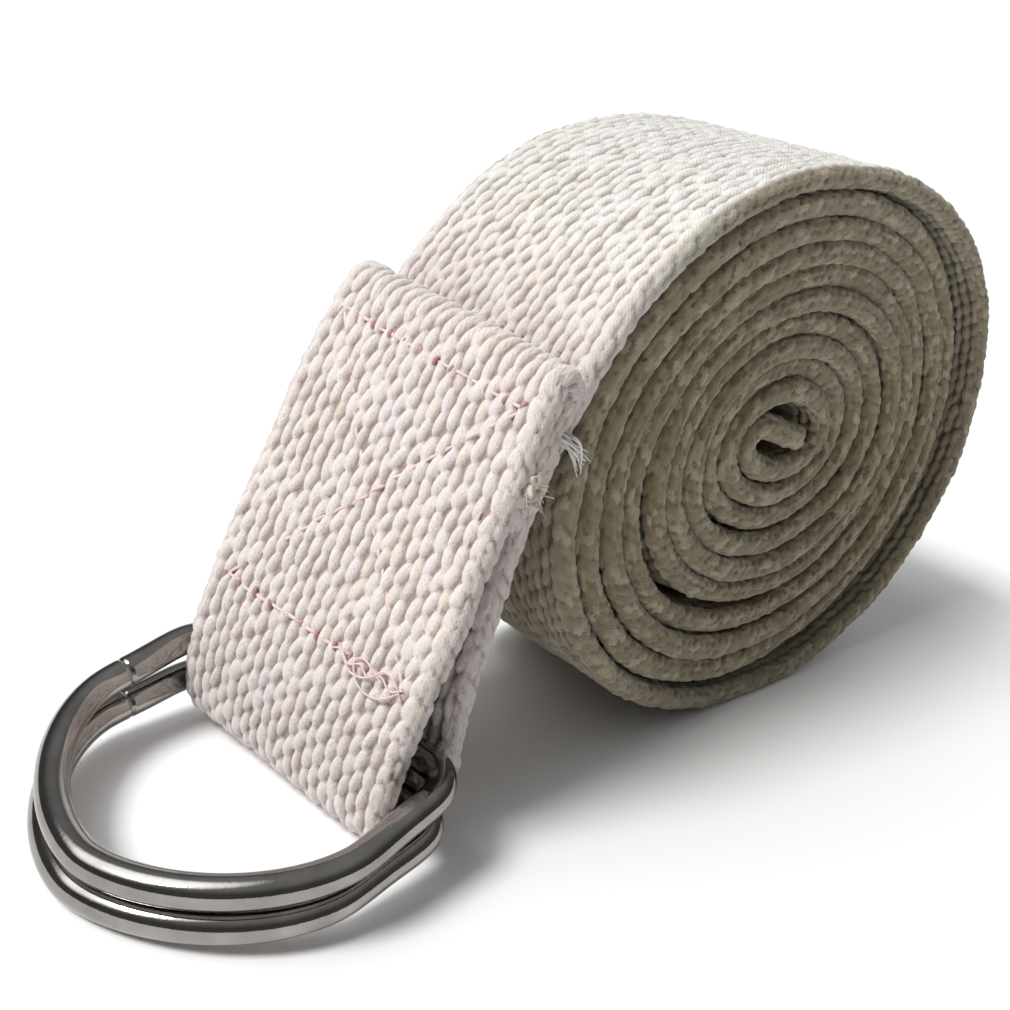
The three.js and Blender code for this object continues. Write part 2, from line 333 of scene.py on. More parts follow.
# ---------------------------------------------------------------- mesh helpers
def mesh_object(name: str, points: Array, faces: Sequence, material: bpy.types.Material,
                smooth: bool = True) -> bpy.types.Object:
    """Makes a mesh object at the origin.

    Args:
        name: the object's name.
        points: vertices in metres.
        faces: vertex index tuples.
        material: its material.
        smooth: smooth shading.

    Returns:
        The object, linked to the scene.
    """
    mesh = bpy.data.meshes.new(name)
    mesh.from_pydata(np.asarray(points, float).tolist(), [], [tuple(map(int, f)) for f in faces])
    mesh.polygons.foreach_set("use_smooth", [smooth] * len(mesh.polygons))
    mesh.materials.append(material)
    mesh.update()
    made = bpy.data.objects.new(name, mesh)
    bpy.context.scene.collection.objects.link(made)
    return made


def tube_mesh(path: Array, radius: float | Array, sides: int, closed: bool) -> tuple[Array, list]:
    """A round tube along a path.

    Args:
        path: its centreline, N by 3.
        radius: one radius or one for each point.
        sides: faces round it.
        closed: whether the path is a loop.

    Returns:
        Vertices and faces.
    """
    n = len(path)
    ahead = np.roll(path, -1, 0) - np.roll(path, 1, 0)
    if not closed:
        ahead[0], ahead[-1] = path[1] - path[0], path[-1] - path[-2]
    ahead /= np.linalg.norm(ahead, axis=1)[:, None]
    side = np.zeros_like(path)
    start = np.cross(ahead[0], (0.0, 0.0, 1.0))
    if np.linalg.norm(start) < 1e-3:
        start = np.cross(ahead[0], (1.0, 0.0, 0.0))
    side[0] = start / np.linalg.norm(start)
    for i in range(1, n):
        turned = side[i - 1] - ahead[i] * (side[i - 1] @ ahead[i])
        side[i] = turned / np.linalg.norm(turned)
    up = np.cross(side, ahead)
    angle = np.linspace(0, 2 * math.pi, sides, endpoint=False)
    wide = np.broadcast_to(np.asarray(radius, float), (n,))[:, None, None]
    ring = np.cos(angle)[None, :, None] * side[:, None, :] + np.sin(angle)[None, :, None] * up[:, None, :]
    points = (path[:, None, :] + wide * ring).reshape(-1, 3)
    faces = []
    for i in range(n if closed else n - 1):
        j = (i + 1) % n
        for k in range(sides):
            m = (k + 1) % sides
            faces.append((i * sides + k, j * sides + k, j * sides + m, i * sides + m))
    if not closed:
        faces.append(tuple(range(sides)))
        faces.append(tuple((n - 1) * sides + k for k in reversed(range(sides))))
    return points, faces


def smooth_path(points: Array, step: float, closed: bool = False) -> Array:
    """Centripetal Catmull-Rom through the points, evenly spaced.

    Args:
        points: control points.
        step: spacing.
        closed: whether the points form a loop.

    Returns:
        Evenly spaced points.
    """
    p = np.asarray(points, float)
    if closed:
        p = np.vstack([p[-1], p, p[0], p[1]])
    else:
        p = np.vstack([2 * p[0] - p[1], p, 2 * p[-1] - p[-2]])
    out = []
    for a, b, c, d in zip(p[:-3], p[1:-2], p[2:-1], p[3:]):
        t1 = np.linalg.norm(b - a) ** 0.5
        t2 = t1 + np.linalg.norm(c - b) ** 0.5
        t3 = t2 + np.linalg.norm(d - c) ** 0.5
        t = np.linspace(t1, t2, 24, endpoint=False)[:, None]
        a1 = (t1 - t) / t1 * a + t / t1 * b
        a2 = (t2 - t) / (t2 - t1) * b + (t - t1) / (t2 - t1) * c
        a3 = (t3 - t) / (t3 - t2) * c + (t - t2) / (t3 - t2) * d
        b1 = (t2 - t) / t2 * a1 + t / t2 * a2
        b2 = (t3 - t) / (t3 - t1) * a2 + (t - t1) / (t3 - t1) * a3
        out.append((t2 - t) / (t2 - t1) * b1 + (t - t1) / (t2 - t1) * b2)
    out.append(p[-2][None])
    dense = np.vstack(out)
    run = np.concatenate([[0], np.cumsum(np.linalg.norm(np.diff(dense, axis=0), axis=1))])
    count = max(2, int(round(run[-1] / step)))
    at = np.linspace(0, run[-1], count + 1)
    even = np.stack([np.interp(at, run, dense[:, k]) for k in range(dense.shape[1])], 1)
    return even[:-1] if closed else even


# ---------------------------------------------------------------- the strap's path
@dataclass(frozen=True)
class StrapSizes:
    """Sizes of the webbing, its coil and its tab, in millimetres and degrees."""

    width: float = 38.0
    thick: float = 3.1
    gap: float = 0.4
    outer: tuple = (-3.2, 55.4, 42.1)
    tilt: float = -6.0
    second: tuple = (-7.6, 0.3, 49.7, 38.6)
    core: tuple = (-13.2, 4.0, 9.0, 4.6)
    slack: float = 0.74
    outer_turn: float = 0.66
    second_turn: float = 1.06
    leave_angle: float = 155.0
    foot_half: float = 8.0
    foot_sink: float = 0.4
    end_rise: float = 2.3
    end_reach: float = 5.0
    pieces: int = 15
    tab_rise: float = 2.7
    hem_drop: float = 3.2
    hem_length: float = 19.0
    loop_out: float = 19.65
    loop_inner: float = 7.4
    loop_clear: float = 0.2


def mix(a: float, b: float, t: float) -> float:
    """Straight blend from a to b."""
    return a + (b - a) * t


def ease(t: float | Array) -> float | Array:
    """Smoothstep of t held between 0 and 1."""
    t = np.clip(t, 0.0, 1.0)
    return t * t * (3 - 2 * t)


def side_of(path: Array) -> Array:
    """Unit normals of a planar path, to the left of its direction."""
    step = np.gradient(path, axis=0)
    step /= np.linalg.norm(step, axis=1)[:, None]
    return np.stack([-step[:, 1], step[:, 0]], 1)


def run_of(path: Array) -> Array:
    """Distance along a path at each of its points."""
    return np.concatenate([[0.0], np.cumsum(np.linalg.norm(np.diff(path, axis=0), axis=1))])


class StrapPath:
    """The middle line of the whole strap, seen along Y, from its inner end to its hem."""

    def __init__(self, sizes: StrapSizes) -> None:
        """Works out the coil, the outer turn and the tab.

        Args:
            sizes: the strap's sizes.
        """
        self.sizes = sizes
        z = sizes
        tilt = math.radians(z.tilt)
        reach = math.hypot(z.outer[1] * math.sin(tilt), z.outer[2] * math.cos(tilt))
        self.middle = reach + z.thick / 2 - z.foot_sink
        self.last = z.second_turn + (z.second[3] - z.core[3]) / (z.thick + z.slack)
        self.start = self.foot_turn()
        coil = self.coil()
        turn, main = self.outer_turn()
        tab = self.tab(main)
        self.hinges = self.turn_cuts(turn)
        whole = np.vstack([coil[:-1], turn[:-1], tab])
        self.coil_end = run_of(coil)[-1]
        self.turn_end = self.coil_end + run_of(turn)[-1]
        self.points = whole
        self.run = run_of(whole)
        self.turn = np.interp(self.run, [*self.coil_marks[0], self.turn_end, self.run[-1]],
                              [*self.coil_marks[1], 0.0, 0.0])
        self.length = self.run[-1]
        self.hinge_runs = [self.coil_end + h for h in self.hinges]

    def oval(self, turn: float) -> Array:
        """The oval that the strap follows at one moment of its coiling.

        Args:
            turn: the turn number, 0 where the strap leaves the coil.

        Returns:
            Its middle's x and z, its two half axes and its tilt in degrees.
        """
        z = self.sizes
        outer = np.array([z.outer[0], self.middle, z.outer[1], z.outer[2], z.tilt])
        second = np.array([z.second[0], self.middle + z.second[1], z.second[2], z.second[3], z.tilt])
        core = np.array([z.core[0], self.middle + z.core[1], z.core[2], z.core[3], z.tilt / 2])
        if turn <= z.outer_turn:
            return outer
        if turn <= z.second_turn:
            return mix(outer, second, float(ease((turn - z.outer_turn) / (z.second_turn - z.outer_turn))))
        return mix(second, core, (turn - z.second_turn) / (self.last - z.second_turn))

    def at(self, turn: float) -> Array:
        """Point of the coil at a turn number; turn 0 is where the strap leaves it."""
        cx, cz, a, b, tilt = self.oval(turn)
        angle = math.radians(self.sizes.leave_angle - 360 * turn - tilt)
        u, v = a * math.cos(angle), b * math.sin(angle)
        c, s = math.cos(math.radians(tilt)), math.sin(math.radians(tilt))
        return np.array([cx + u * c - v * s, max(cz + u * s + v * c, self.sizes.thick / 2)])

    def foot_turn(self) -> float:
        """Turn number where the outer turn passes the end of the foot."""
        low, high = 0.5, 0.85
        for _ in range(50):
            middle = (low + high) / 2
            low, high = (middle, high) if self.at(middle)[0] > self.sizes.foot_half else (low, middle)
        return (low + high) / 2

    def coil(self) -> Array:
        """The inner turns, from the strap's inner end out to the foot."""
        z = self.sizes
        count = int(round((self.last - self.start) * 180))
        coil = [self.at(mix(self.start, self.last, i / count)) for i in range(count + 1)]
        cx, cz = self.oval(self.last)[:2]
        half, rise = z.core[2], z.end_rise
        ends = [(cx - 0.86 * half, cz + 0.85 * rise), (cx - 0.55 * half, cz + rise),
                (cx, cz + 0.4 * rise), (cx + z.end_reach, cz - 0.25 * rise)]
        inner = smooth_path(np.array([coil[-13], coil[-9], coil[-5], *ends]), 0.4)
        line = np.vstack([coil[:-13], inner])[::-1]
        along = run_of(line)
        kept = len(coil) - 13
        self.coil_marks = (along[-kept:], mix(self.start, self.last, np.arange(kept)[::-1] / count))
        return line

    def outer_turn(self) -> tuple[Array, Array]:
        """The outer turn, and the way down from it to the rings."""
        z = self.sizes
        turn = [self.at(mix(self.start, 0.13, i / 40)) for i in range(41)]
        for back in (1.1, 1.06, 1.03, 1.0):
            p, q = self.at(back - 0.0015), self.at(back + 0.0015)
            d = (q - p) / np.linalg.norm(q - p)
            turn.append(self.at(back) + np.array([-d[1], d[0]]) * (z.thick + z.gap + 0.15))
        leave = turn[-1]
        self.leave = leave
        self.loop_radius = (z.loop_inner + z.thick) / 2
        self.loop_z = self.loop_radius + z.thick / 2 + z.loop_clear
        self.loop_x = leave[0] - z.loop_out
        self.bar_x = self.loop_x - 0.45
        low = np.array([self.loop_x + self.loop_radius, self.loop_z + 1.5])
        a, b = leave + (-6.6, -13.5), low + (-0.2, 22.0)
        t = np.linspace(0, 1, 15)[1:, None]
        down = (1 - t) ** 3 * leave + 3 * t * (1 - t) ** 2 * a + 3 * t * t * (1 - t) * b + t ** 3 * low
        path = smooth_path(np.vstack([turn, down]), 1.5)
        inner = np.array([self.at(k) for k in np.arange(0.8, 1.4, 0.0025)])
        wanted = z.thick + z.gap + 0.05
        for i, p in enumerate(path):
            gaps = np.linalg.norm(inner - p, axis=1)
            near = inner[gaps.argmin()]
            if gaps.min() < wanted:
                path[i] = near + (p - near) / gaps.min() * wanted
        path = smooth_path(path, 0.4)
        half = len(path) // 2
        cut = half + int(np.argmax(path[half:, 1] < leave[1] + z.tab_rise))
        return path[:cut + 1], path[cut:]

    def tab(self, main: Array) -> Array:
        """Down to the rings, round their bars, up outside and the end turned under.

        Args:
            main: the way down.

        Returns:
            The tab's middle line.
        """
        z = self.sizes
        side = side_of(main)
        stack = z.thick + z.gap
        hem_top = self.leave[1] - z.hem_drop
        hem_low = hem_top - z.hem_length

        def layer(height: float, offset: float) -> Array:
            """Point beside the way down, at a height."""
            i = int(np.argmax(main[:, 1] <= height))
            return main[i] + side[i] * offset

        angle = np.radians(np.arange(0, 181, 15))[:, None]
        around = self.loop_radius * np.hstack([np.cos(angle), -np.sin(angle)])
        loop = np.array([self.loop_x, self.loop_z]) + around
        top = []
        for h in np.arange(self.loop_z + 6, hem_low + 1e-6, 5):
            closing = float(ease((h - self.loop_z) / (hem_low - self.loop_z)))
            top.append(layer(h, -mix(2 * self.loop_radius, 2 * stack, closing)))
        top += [layer(h, -2 * stack) for h in np.arange(hem_low + 2, hem_top - stack - 1, 4)]
        at = int(np.argmax(main[:, 1] <= hem_top - stack / 2))
        middle = main[at] - 1.5 * stack * side[at]
        up = np.array([-side[at][1], side[at][0]])
        fold = [middle - side[at] * stack / 2 * math.cos(a) + up * stack / 2 * math.sin(a)
                for a in np.radians(np.arange(0, 181, 20))]
        hem = [layer(h, -stack) for h in np.arange(hem_top - stack - 1.5, hem_low, -4)]
        steps = main[:-3:8]
        return smooth_path(np.vstack([steps, loop, top, fold, hem]), 0.4)

    def turn_cuts(self, turn: Array) -> list[float]:
        """Distances along the outer turn of its hinges."""
        whole = run_of(turn)[-1]
        return [whole * i / self.sizes.pieces for i in range(self.sizes.pieces + 1)]


# ---------------------------------------------------------------- webbing
@dataclass(frozen=True)
class WeaveSizes:
    """The weave: rows of warp floats round the webbing's cross-section, in millimetres."""

    rows: int = 48
    period: float = 2.95
    relief: float = 0.66
    sunk: float = 0.66
    corner: float = 1.2
    slant: float = 0.09
    edge_rows: int = 66
    edge_period: float = 1.95
    edge_slant: float = -0.25
    fat: float = 0.465
    edge_fat: float = 0.58
    long: float = 0.62
    loose: float = 1.15
    edge_loose: float = 1.5
    rim: float = 1.35
    skirt: float = 0.04
    crown: float = 0.36
    press: float = 0.30
    seed: int = 7


@dataclass
class Grains:
    """One field of rice-grain floats, set in offset rows with random placing."""

    rows: int
    pitch: float
    period: float
    slant: float
    fat: float
    long: float
    loose: float
    length: float
    seed: int
    tables: dict = field(default_factory=dict)

    def __post_init__(self) -> None:
        """Draws the random placing of every grain."""
        rng = np.random.default_rng(self.seed)
        shape = (self.rows, int(self.length / self.period) + 8)
        for name, size in (("s", 0.13), ("q", 0.075), ("h", 0.12), ("a", 0.09), ("w", 0.09)):
            self.tables[name] = rng.normal(0, size * self.loose, shape)
        self.tables["tint"] = rng.random(shape)

    def at(self, s: Array, q: Array) -> tuple[Array, Array]:
        """Height of the floats and each point's grain.

        Args:
            s: distance along the strap.
            q: distance round the section.

        Returns:
            Height from 0 to about 1, and the grain's random number.
        """
        t = self.tables
        row0 = np.floor(q / self.pitch).astype(int)
        best, tint = np.zeros(s.shape), np.zeros(s.shape)
        for dr in (-1, 0, 1):
            row = np.mod(row0 + dr, self.rows)
            shift = 0.5 * np.mod(row, 2)
            k0 = np.round(s / self.period - shift).astype(int)
            for dk in (-1, 0, 1):
                k = np.clip(k0 + dk, 0, t["s"].shape[1] - 1)
                ds = s - (k + shift) * self.period - t["s"][row, k]
                dq = q - (row0 + dr + 0.5) * self.pitch - t["q"][row, k] - (self.slant + t["a"][row, k]) * ds
                wide = self.fat * self.pitch * (1 + t["w"][row, k])
                r2 = (dq / wide) ** 2 + np.abs(ds / (self.long * self.period)) ** 2.2
                h = np.sqrt(np.clip(1 - r2, 0, 1)) * (1 + t["h"][row, k])
                take = h > best
                best = np.where(take, h, best)
                tint = np.where(take, t["tint"][row, k], tint)
        return np.clip(best, 0, 1.25), tint


class Webbing:
    """Heavy cotton webbing laid along the strap's path, woven in relief."""

    EVEN_STEP = 0.25
    # sideways wander and selvedge wobble, as (size, span) of each wave in millimetres
    STAGGER = ((0.42, 37.0), (0.34, 91.0), (0.20, 13.3))
    WOBBLE = ((0.10, 4.7), (0.08, 8.9), (0.06, 2.6))
    # slant of the tab across its width, as (distance past the outer turn, slant)
    TAB_LEAN = ((-12, 0), (6, 0.02), (18, -0.02), (30, -0.055), (42, -0.085), (58, -0.085), (66, -0.075),
                (74, -0.075), (84, -0.10), (104, -0.12), (118, -0.085), (134, -0.03), (150, 0.02), (160, 0.0))
    TAB_RISE = ((-6, 0), (30, 0.0), (58, 0.01), (66, 0.02), (74, 0.02), (100, 0.04), (125, 0.075),
                (140, 0.075), (160, 0.06))
    # where the coil gapes: after which turn, where round it, how wide, how far inner and outer layers move
    OPENINGS = ((4.29, 0.80, 0.20, 1.25, 0.35), (7.29, 0.80, 0.12, 0.40, 0.10),
                (2.40, 0.97, 0.10, 0.22, 0.18), (5.75, 0.22, 0.12, 0.30, 0.16))

    def __init__(self, path: StrapPath, weave: WeaveSizes, material: bpy.types.Material) -> None:
        """Prepares the cross-section, the drift of the cloth and its random grains.

        Args:
            path: the strap's middle line.
            weave: sizes of the weave.
            material: its finish.
        """
        self.path = path
        self.weave = weave
        self.material = material
        z = path.sizes
        half, thin, r = z.width / 2 - weave.corner, z.thick / 2 - weave.corner, weave.corner
        self.around = 4 * half + 4 * thin + 2 * math.pi * r
        rng = np.random.default_rng(weave.seed)
        w = weave
        self.face = Grains(w.rows, self.around / w.rows, w.period, w.slant, w.fat, w.long, w.loose,
                           path.length, w.seed)
        self.rim = Grains(w.edge_rows, self.around / w.edge_rows, w.edge_period, w.edge_slant, w.edge_fat,
                          w.long, w.edge_loose, path.length, w.seed + 1)
        self.wave = rng.uniform(0, 2 * math.pi, 12)
        self.even = np.arange(0, path.length, self.EVEN_STEP)
        self.normals = self.smoothed_normals()

    # cross-section ---------------------------------------------------
    def section(self, q: Array) -> tuple[Array, Array, Array, Array]:
        """Place and outward direction on the cross-section.

        Args:
            q: distance round it, from the middle of the +Y selvedge over the +normal face.

        Returns:
            Across, height, and the outward direction's two parts.
        """
        z, r = self.path.sizes, self.weave.corner
        half, thin = z.width / 2 - r, z.thick / 2 - r
        q = np.mod(q, self.around)
        arc = math.pi * r / 2
        edges = np.cumsum([0, thin, arc, 2 * half, arc, 2 * thin, arc, 2 * half, arc, thin])
        y, h, ny, nh = (np.zeros_like(q) for _ in range(4))
        legs = [((half + r, 0), (0, 1), (1, 0)), None, ((half, thin + r), (-1, 0), (0, 1)), None,
                ((-half - r, thin), (0, -1), (-1, 0)), None, ((-half, -thin - r), (1, 0), (0, -1)), None,
                ((half + r, -thin), (0, 1), (1, 0))]
        middles = {1: (half, thin, 0), 3: (-half, thin, 90), 5: (-half, -thin, 180), 7: (half, -thin, 270)}
        for i, leg in enumerate(legs):
            on = (q >= edges[i]) & (q <= edges[i + 1])
            d = q[on] - edges[i]
            if leg:
                (y0, h0), (dy, dh), (ay, ah) = leg
                y[on], h[on], ny[on], nh[on] = y0 + dy * d, h0 + dh * d, ay, ah
            else:
                cy, ch, turn = middles[i]
                a = math.radians(turn) + d / r
                y[on], h[on], ny[on], nh[on] = cy + r * np.cos(a), ch + r * np.sin(a), np.cos(a), np.sin(a)
        return y, h, ny, nh

    def samples(self, fine: float, coarse_past: float | None) -> Array:
        """Distances round the section to sample.

        Args:
            fine: spacing where the weave shows.
            coarse_past: distance in from each selvedge where the faces turn coarse, or None.

        Returns:
            Sorted distances, mirrored top to bottom so that an end can be closed.
        """
        z = self.path.sizes
        half_round = self.around / 2
        if coarse_past is None:
            n = int(round(half_round / fine))
            upper = (np.arange(n) + 0.5) * half_round / n
        else:
            edge = z.thick / 2 + coarse_past
            n = int(round(edge / fine))
            near = (np.arange(n) + 0.5) * edge / n
            inner = np.linspace(edge, half_round - edge, 6)
            upper = np.concatenate([near, inner, half_round - near[::-1]])
        return np.concatenate([upper, self.around - upper[::-1]])

    # relief ----------------------------------------------------------
    def relief(self, s: Array, q: Array) -> tuple[Array, Array, Array]:
        """Height of the weave, its grains and how near the selvedge each point is.

        Args:
            s: distance along the strap.
            q: distance round the section.

        Returns:
            Height from 0 to 1, the grain's random number, and 0 on the faces to 1 on the selvedge.
        """
        height, tint = self.face.at(s, q)
        inner = self.path.sizes.width / 2 - self.weave.rim
        rim = np.clip((np.abs(self.section(q)[0]) - inner) / 0.7, 0, 1)
        on = rim > 0
        edge, edge_tint = self.rim.at(s[on], q[on])
        height[on] = mix(height[on], edge * 0.62 + 0.28, rim[on])
        tint[on] = np.where(rim[on] > 0.5, edge_tint, tint[on])
        ripple = np.sin(s * 9.1 + 2.3 * np.sin(q * 3.7))
        fibre = 0.045 * ripple * np.sin(q * 11.3 + 1.9 * np.sin(s * 2.9))
        return height + fibre, tint, rim

    def drift(self, s: Array) -> tuple[Array, Array, Array, Array]:
        """How the cloth's cross-section wanders from square.

        Args:
            s: distance along the strap.

        Returns:
            Shift, x lean, z lean, and edge wobble.
        """
        p = self.path
        end = p.turn_end
        f = self.wave
        calm = 1 - ease((s - end + 40) / 30)
        stagger = sum(size * np.sin(s / span + f[k]) for k, (size, span) in enumerate(self.STAGGER))
        shift = stagger * calm + 1.3 * ease((s - end + 4) / 24) - 1.7 * ease((s - end - 66) / 40)
        lean = np.interp(s - end, *zip(*self.TAB_LEAN))
        rise = np.interp(s - end, *zip(*self.TAB_RISE))
        wobble = sum(size * np.sin(s / span + f[3 + k]) for k, (size, span) in enumerate(self.WOBBLE))
        return shift, lean, rise, wobble

    def packing(self, s: Array) -> tuple[Array, Array, Array]:
        """How the pressed layers of the coil sit: a shift toward its middle, and a swelling of the cloth.

        Args:
            s: distance along the strap.

        Returns:
            Shift along the normal, extra thickness on each face, and 0 to 1 inside the coil.
        """
        p, f = self.path, self.wave
        turn = np.interp(s, p.run, p.turn)
        part = np.mod(turn, 1.0)
        shift, open_ = np.zeros_like(s), np.zeros_like(s)
        for after, at, wide, inward, outward in self.OPENINGS:
            window = np.exp(-((np.mod(part - at + 0.5, 1.0) - 0.5) / wide) ** 2)
            inner = inward * np.exp(-(turn - after) / 2.6)
            outer = -outward * np.exp((turn - after) / 1.8)
            shift += window * np.where(turn > after, inner, outer)
            open_ += window * np.exp(-((turn - after) / 0.75) ** 2)
        deep = ease((turn - 1.05) / 0.25)
        full = 0.72 + 0.28 * np.sin(s / 17.0 + f[6]) * np.sin(s / 41.0 + f[7])
        swell = self.weave.press * deep * full * (1 - 0.8 * np.clip(open_, 0, 1))
        uneven = 0.07 * np.sin(s / 11.0 + f[8]) + 0.05 * np.sin(s / 6.1 + f[9])
        return shift + uneven * deep, swell, deep

    # placement -------------------------------------------------------
    def place(self, s: Array, q: Array, lift: Array | float = 0.0) -> Array:
        """Points of the cloth's surface, in millimetres.

        Args:
            s: distance along the strap, one for each point.
            q: distance round the section, one for each point.
            lift: height above the plain section.

        Returns:
            N by 3 points.
        """
        p = self.path
        cx, cz = np.interp(s, p.run, p.points[:, 0]), np.interp(s, p.run, p.points[:, 1])
        n = self.sides(s)
        y, h, ny, nh = self.section(q)
        inward, swell, deep = self.packing(s)
        middle = ease((15.2 - np.abs(y)) / 4.0)
        y = y + ny * lift
        h = h + nh * (lift + mix(swell, self.weave.crown * deep, middle)) + inward * (1 - middle)
        shift, lean, rise, wobble = self.drift(s)
        wide = y / (p.sizes.width / 2)
        yy = y + shift + wobble * wide ** 3
        x = cx + n[..., 0] * h + lean * y
        zz = cz + n[..., 1] * h + rise * y
        return np.stack([x, yy, np.maximum(zz, 0.02)], -1)

    def smoothed_normals(self) -> Array:
        """The path's normals at even distances, smoothed over a few steps."""
        p = self.path
        n = side_of(np.stack([np.interp(self.even, p.run, p.points[:, k]) for k in (0, 1)], 1))
        kernel = np.hanning(9)
        kernel /= kernel.sum()
        pad = np.pad(n, ((4, 4), (0, 0)), mode="edge")
        n = np.stack([np.convolve(pad[:, k], kernel, "valid") for k in (0, 1)], 1)
        return n / np.linalg.norm(n, axis=1)[:, None]

    def sides(self, s: Array) -> Array:
        """Smoothed normals of the path at distances along it."""
        out = np.stack([np.interp(s, self.even, self.normals[:, k]) for k in (0, 1)], -1)
        return out / np.linalg.norm(out, axis=-1)[..., None]

    def piece(self, name: str, start: float, end: float, step: float, fine: float,
              coarse_past: float | None = None) -> bpy.types.Object:
        """Weaves one length of strap as a closed mesh.

        Args:
            name: the object's name.
            start: distance along the strap where it starts.
            end: distance where it ends.
            step: spacing along the strap.
            fine: spacing round the section.
            coarse_past: where the faces turn coarse, or None.

        Returns:
            The mesh object, in metres.
        """
        q = self.samples(fine, coarse_past)
        s = np.linspace(start, end, max(2, int(round((end - start) / step)) + 1))
        hidden = 0.8 * (s[1] - s[0])
        s = np.concatenate([[max(start - hidden, 0.0)], s, [min(end + hidden, self.path.length)]])
        ss, qq = np.meshgrid(s, q, indexing="ij")
        height, tint, rim = self.relief(ss, qq)
        w = self.weave
        lift = (height - w.sunk) * w.relief
        lift[[0, -1]] -= w.skirt
        points = self.place(ss, qq, lift).reshape(-1, 3)
        rows, cols = ss.shape
        i, j = np.meshgrid(np.arange(rows - 1), np.arange(cols), indexing="ij")
        k = (j + 1) % cols
        low, high = i * cols, (i + 1) * cols
        walls = np.stack([low + j, low + k, high + k, high + j], -1).reshape(-1, 4)
        half = cols // 2
        c = np.arange(half - 1)
        first = np.stack([c, cols - 1 - c, cols - 2 - c, c + 1], -1)
        last = (rows - 1) * cols + first[:, ::-1]
        faces = np.vstack([walls, first, last])
        mesh = bpy.data.meshes.new(name)
        mesh.vertices.add(len(points))
        mesh.vertices.foreach_set("co", (points * MM).astype(np.float32).ravel())
        mesh.loops.add(faces.size)
        mesh.loops.foreach_set("vertex_index", faces.ravel().astype(np.int32))
        mesh.polygons.add(len(faces))
        mesh.polygons.foreach_set("loop_start", np.arange(0, faces.size, 4, dtype=np.int32))
        mesh.update(calc_edges=True)
        flat_from = len(walls)
        mesh.polygons.foreach_set("use_smooth", np.arange(len(faces)) < flat_from)
        t = ss - self.path.turn_end
        blush = ease((t + 16) / 22) * 0.95
        self.store(mesh, "relief", np.clip(height, 0, 1.2))
        self.store(mesh, "grain", tint)
        # the edge attribute carries the selvedge tone and the painted shade of the pressed and inner layers
        self.store(mesh, "edge", self.selvedge_tone_and_painted_shade(ss, qq, rim))
        self.store(mesh, "blush", blush)
        uv = mesh.uv_layers.new(name="weave")
        flat = np.stack([qq, ss], -1).reshape(-1, 2)
        loops = flat[faces.ravel()]
        seam = (faces % cols == 0).any(1) & (faces % cols == cols - 1).any(1)
        seam[flat_from:] = False
        fix = np.repeat(seam, 4) & (faces.ravel() % cols == 0)
        loops[fix, 0] += self.around
        uv.data.foreach_set("uv", loops.astype(np.float32).ravel())
        mesh.materials.append(self.material)
        mesh.update()
        made = bpy.data.objects.new(name, mesh)
        bpy.context.scene.collection.objects.link(made)
        return made

    def selvedge_tone_and_painted_shade(self, s: Array, q: Array, rim: Array) -> Array:
        """How far the cloth is darkened: the selvedges' browner tone with painted shade, and painted shade on
        the coil's pressed layers and the outer turn's inside.

        Args:
            s: distance along the strap.
            q: distance round the section.
            rim: 1 on the selvedges.

        Returns:
            0 for clean cloth to 1 for fully darkened cloth.
        """
        p = self.path
        t = s - p.turn_end
        turn = np.interp(s, p.run, p.turn)
        # Painted shade: the coil's pressed layers and the outer turn's inside face are darkened.
        pressed = ease((turn - 0.67) / 0.05) * mix(0.88, 0.97, ease((turn - 1.0) / 0.3))
        inside = np.where(q < self.around / 2, 0.85, 0.0) * ease((-30 - t) / 25) * ease((turn - 0.02) / 0.05)
        return np.maximum(rim * mix(0.92, 0.18, ease((t + 30) / 30)), np.maximum(pressed, inside))

    @staticmethod
    def store(mesh: bpy.types.Mesh, name: str, values: Array) -> None:
        """Keeps a number for each vertex."""
        made = mesh.attributes.new(name, "FLOAT", "POINT")
        made.data.foreach_set("value", np.ascontiguousarray(values, dtype=np.float32).ravel())


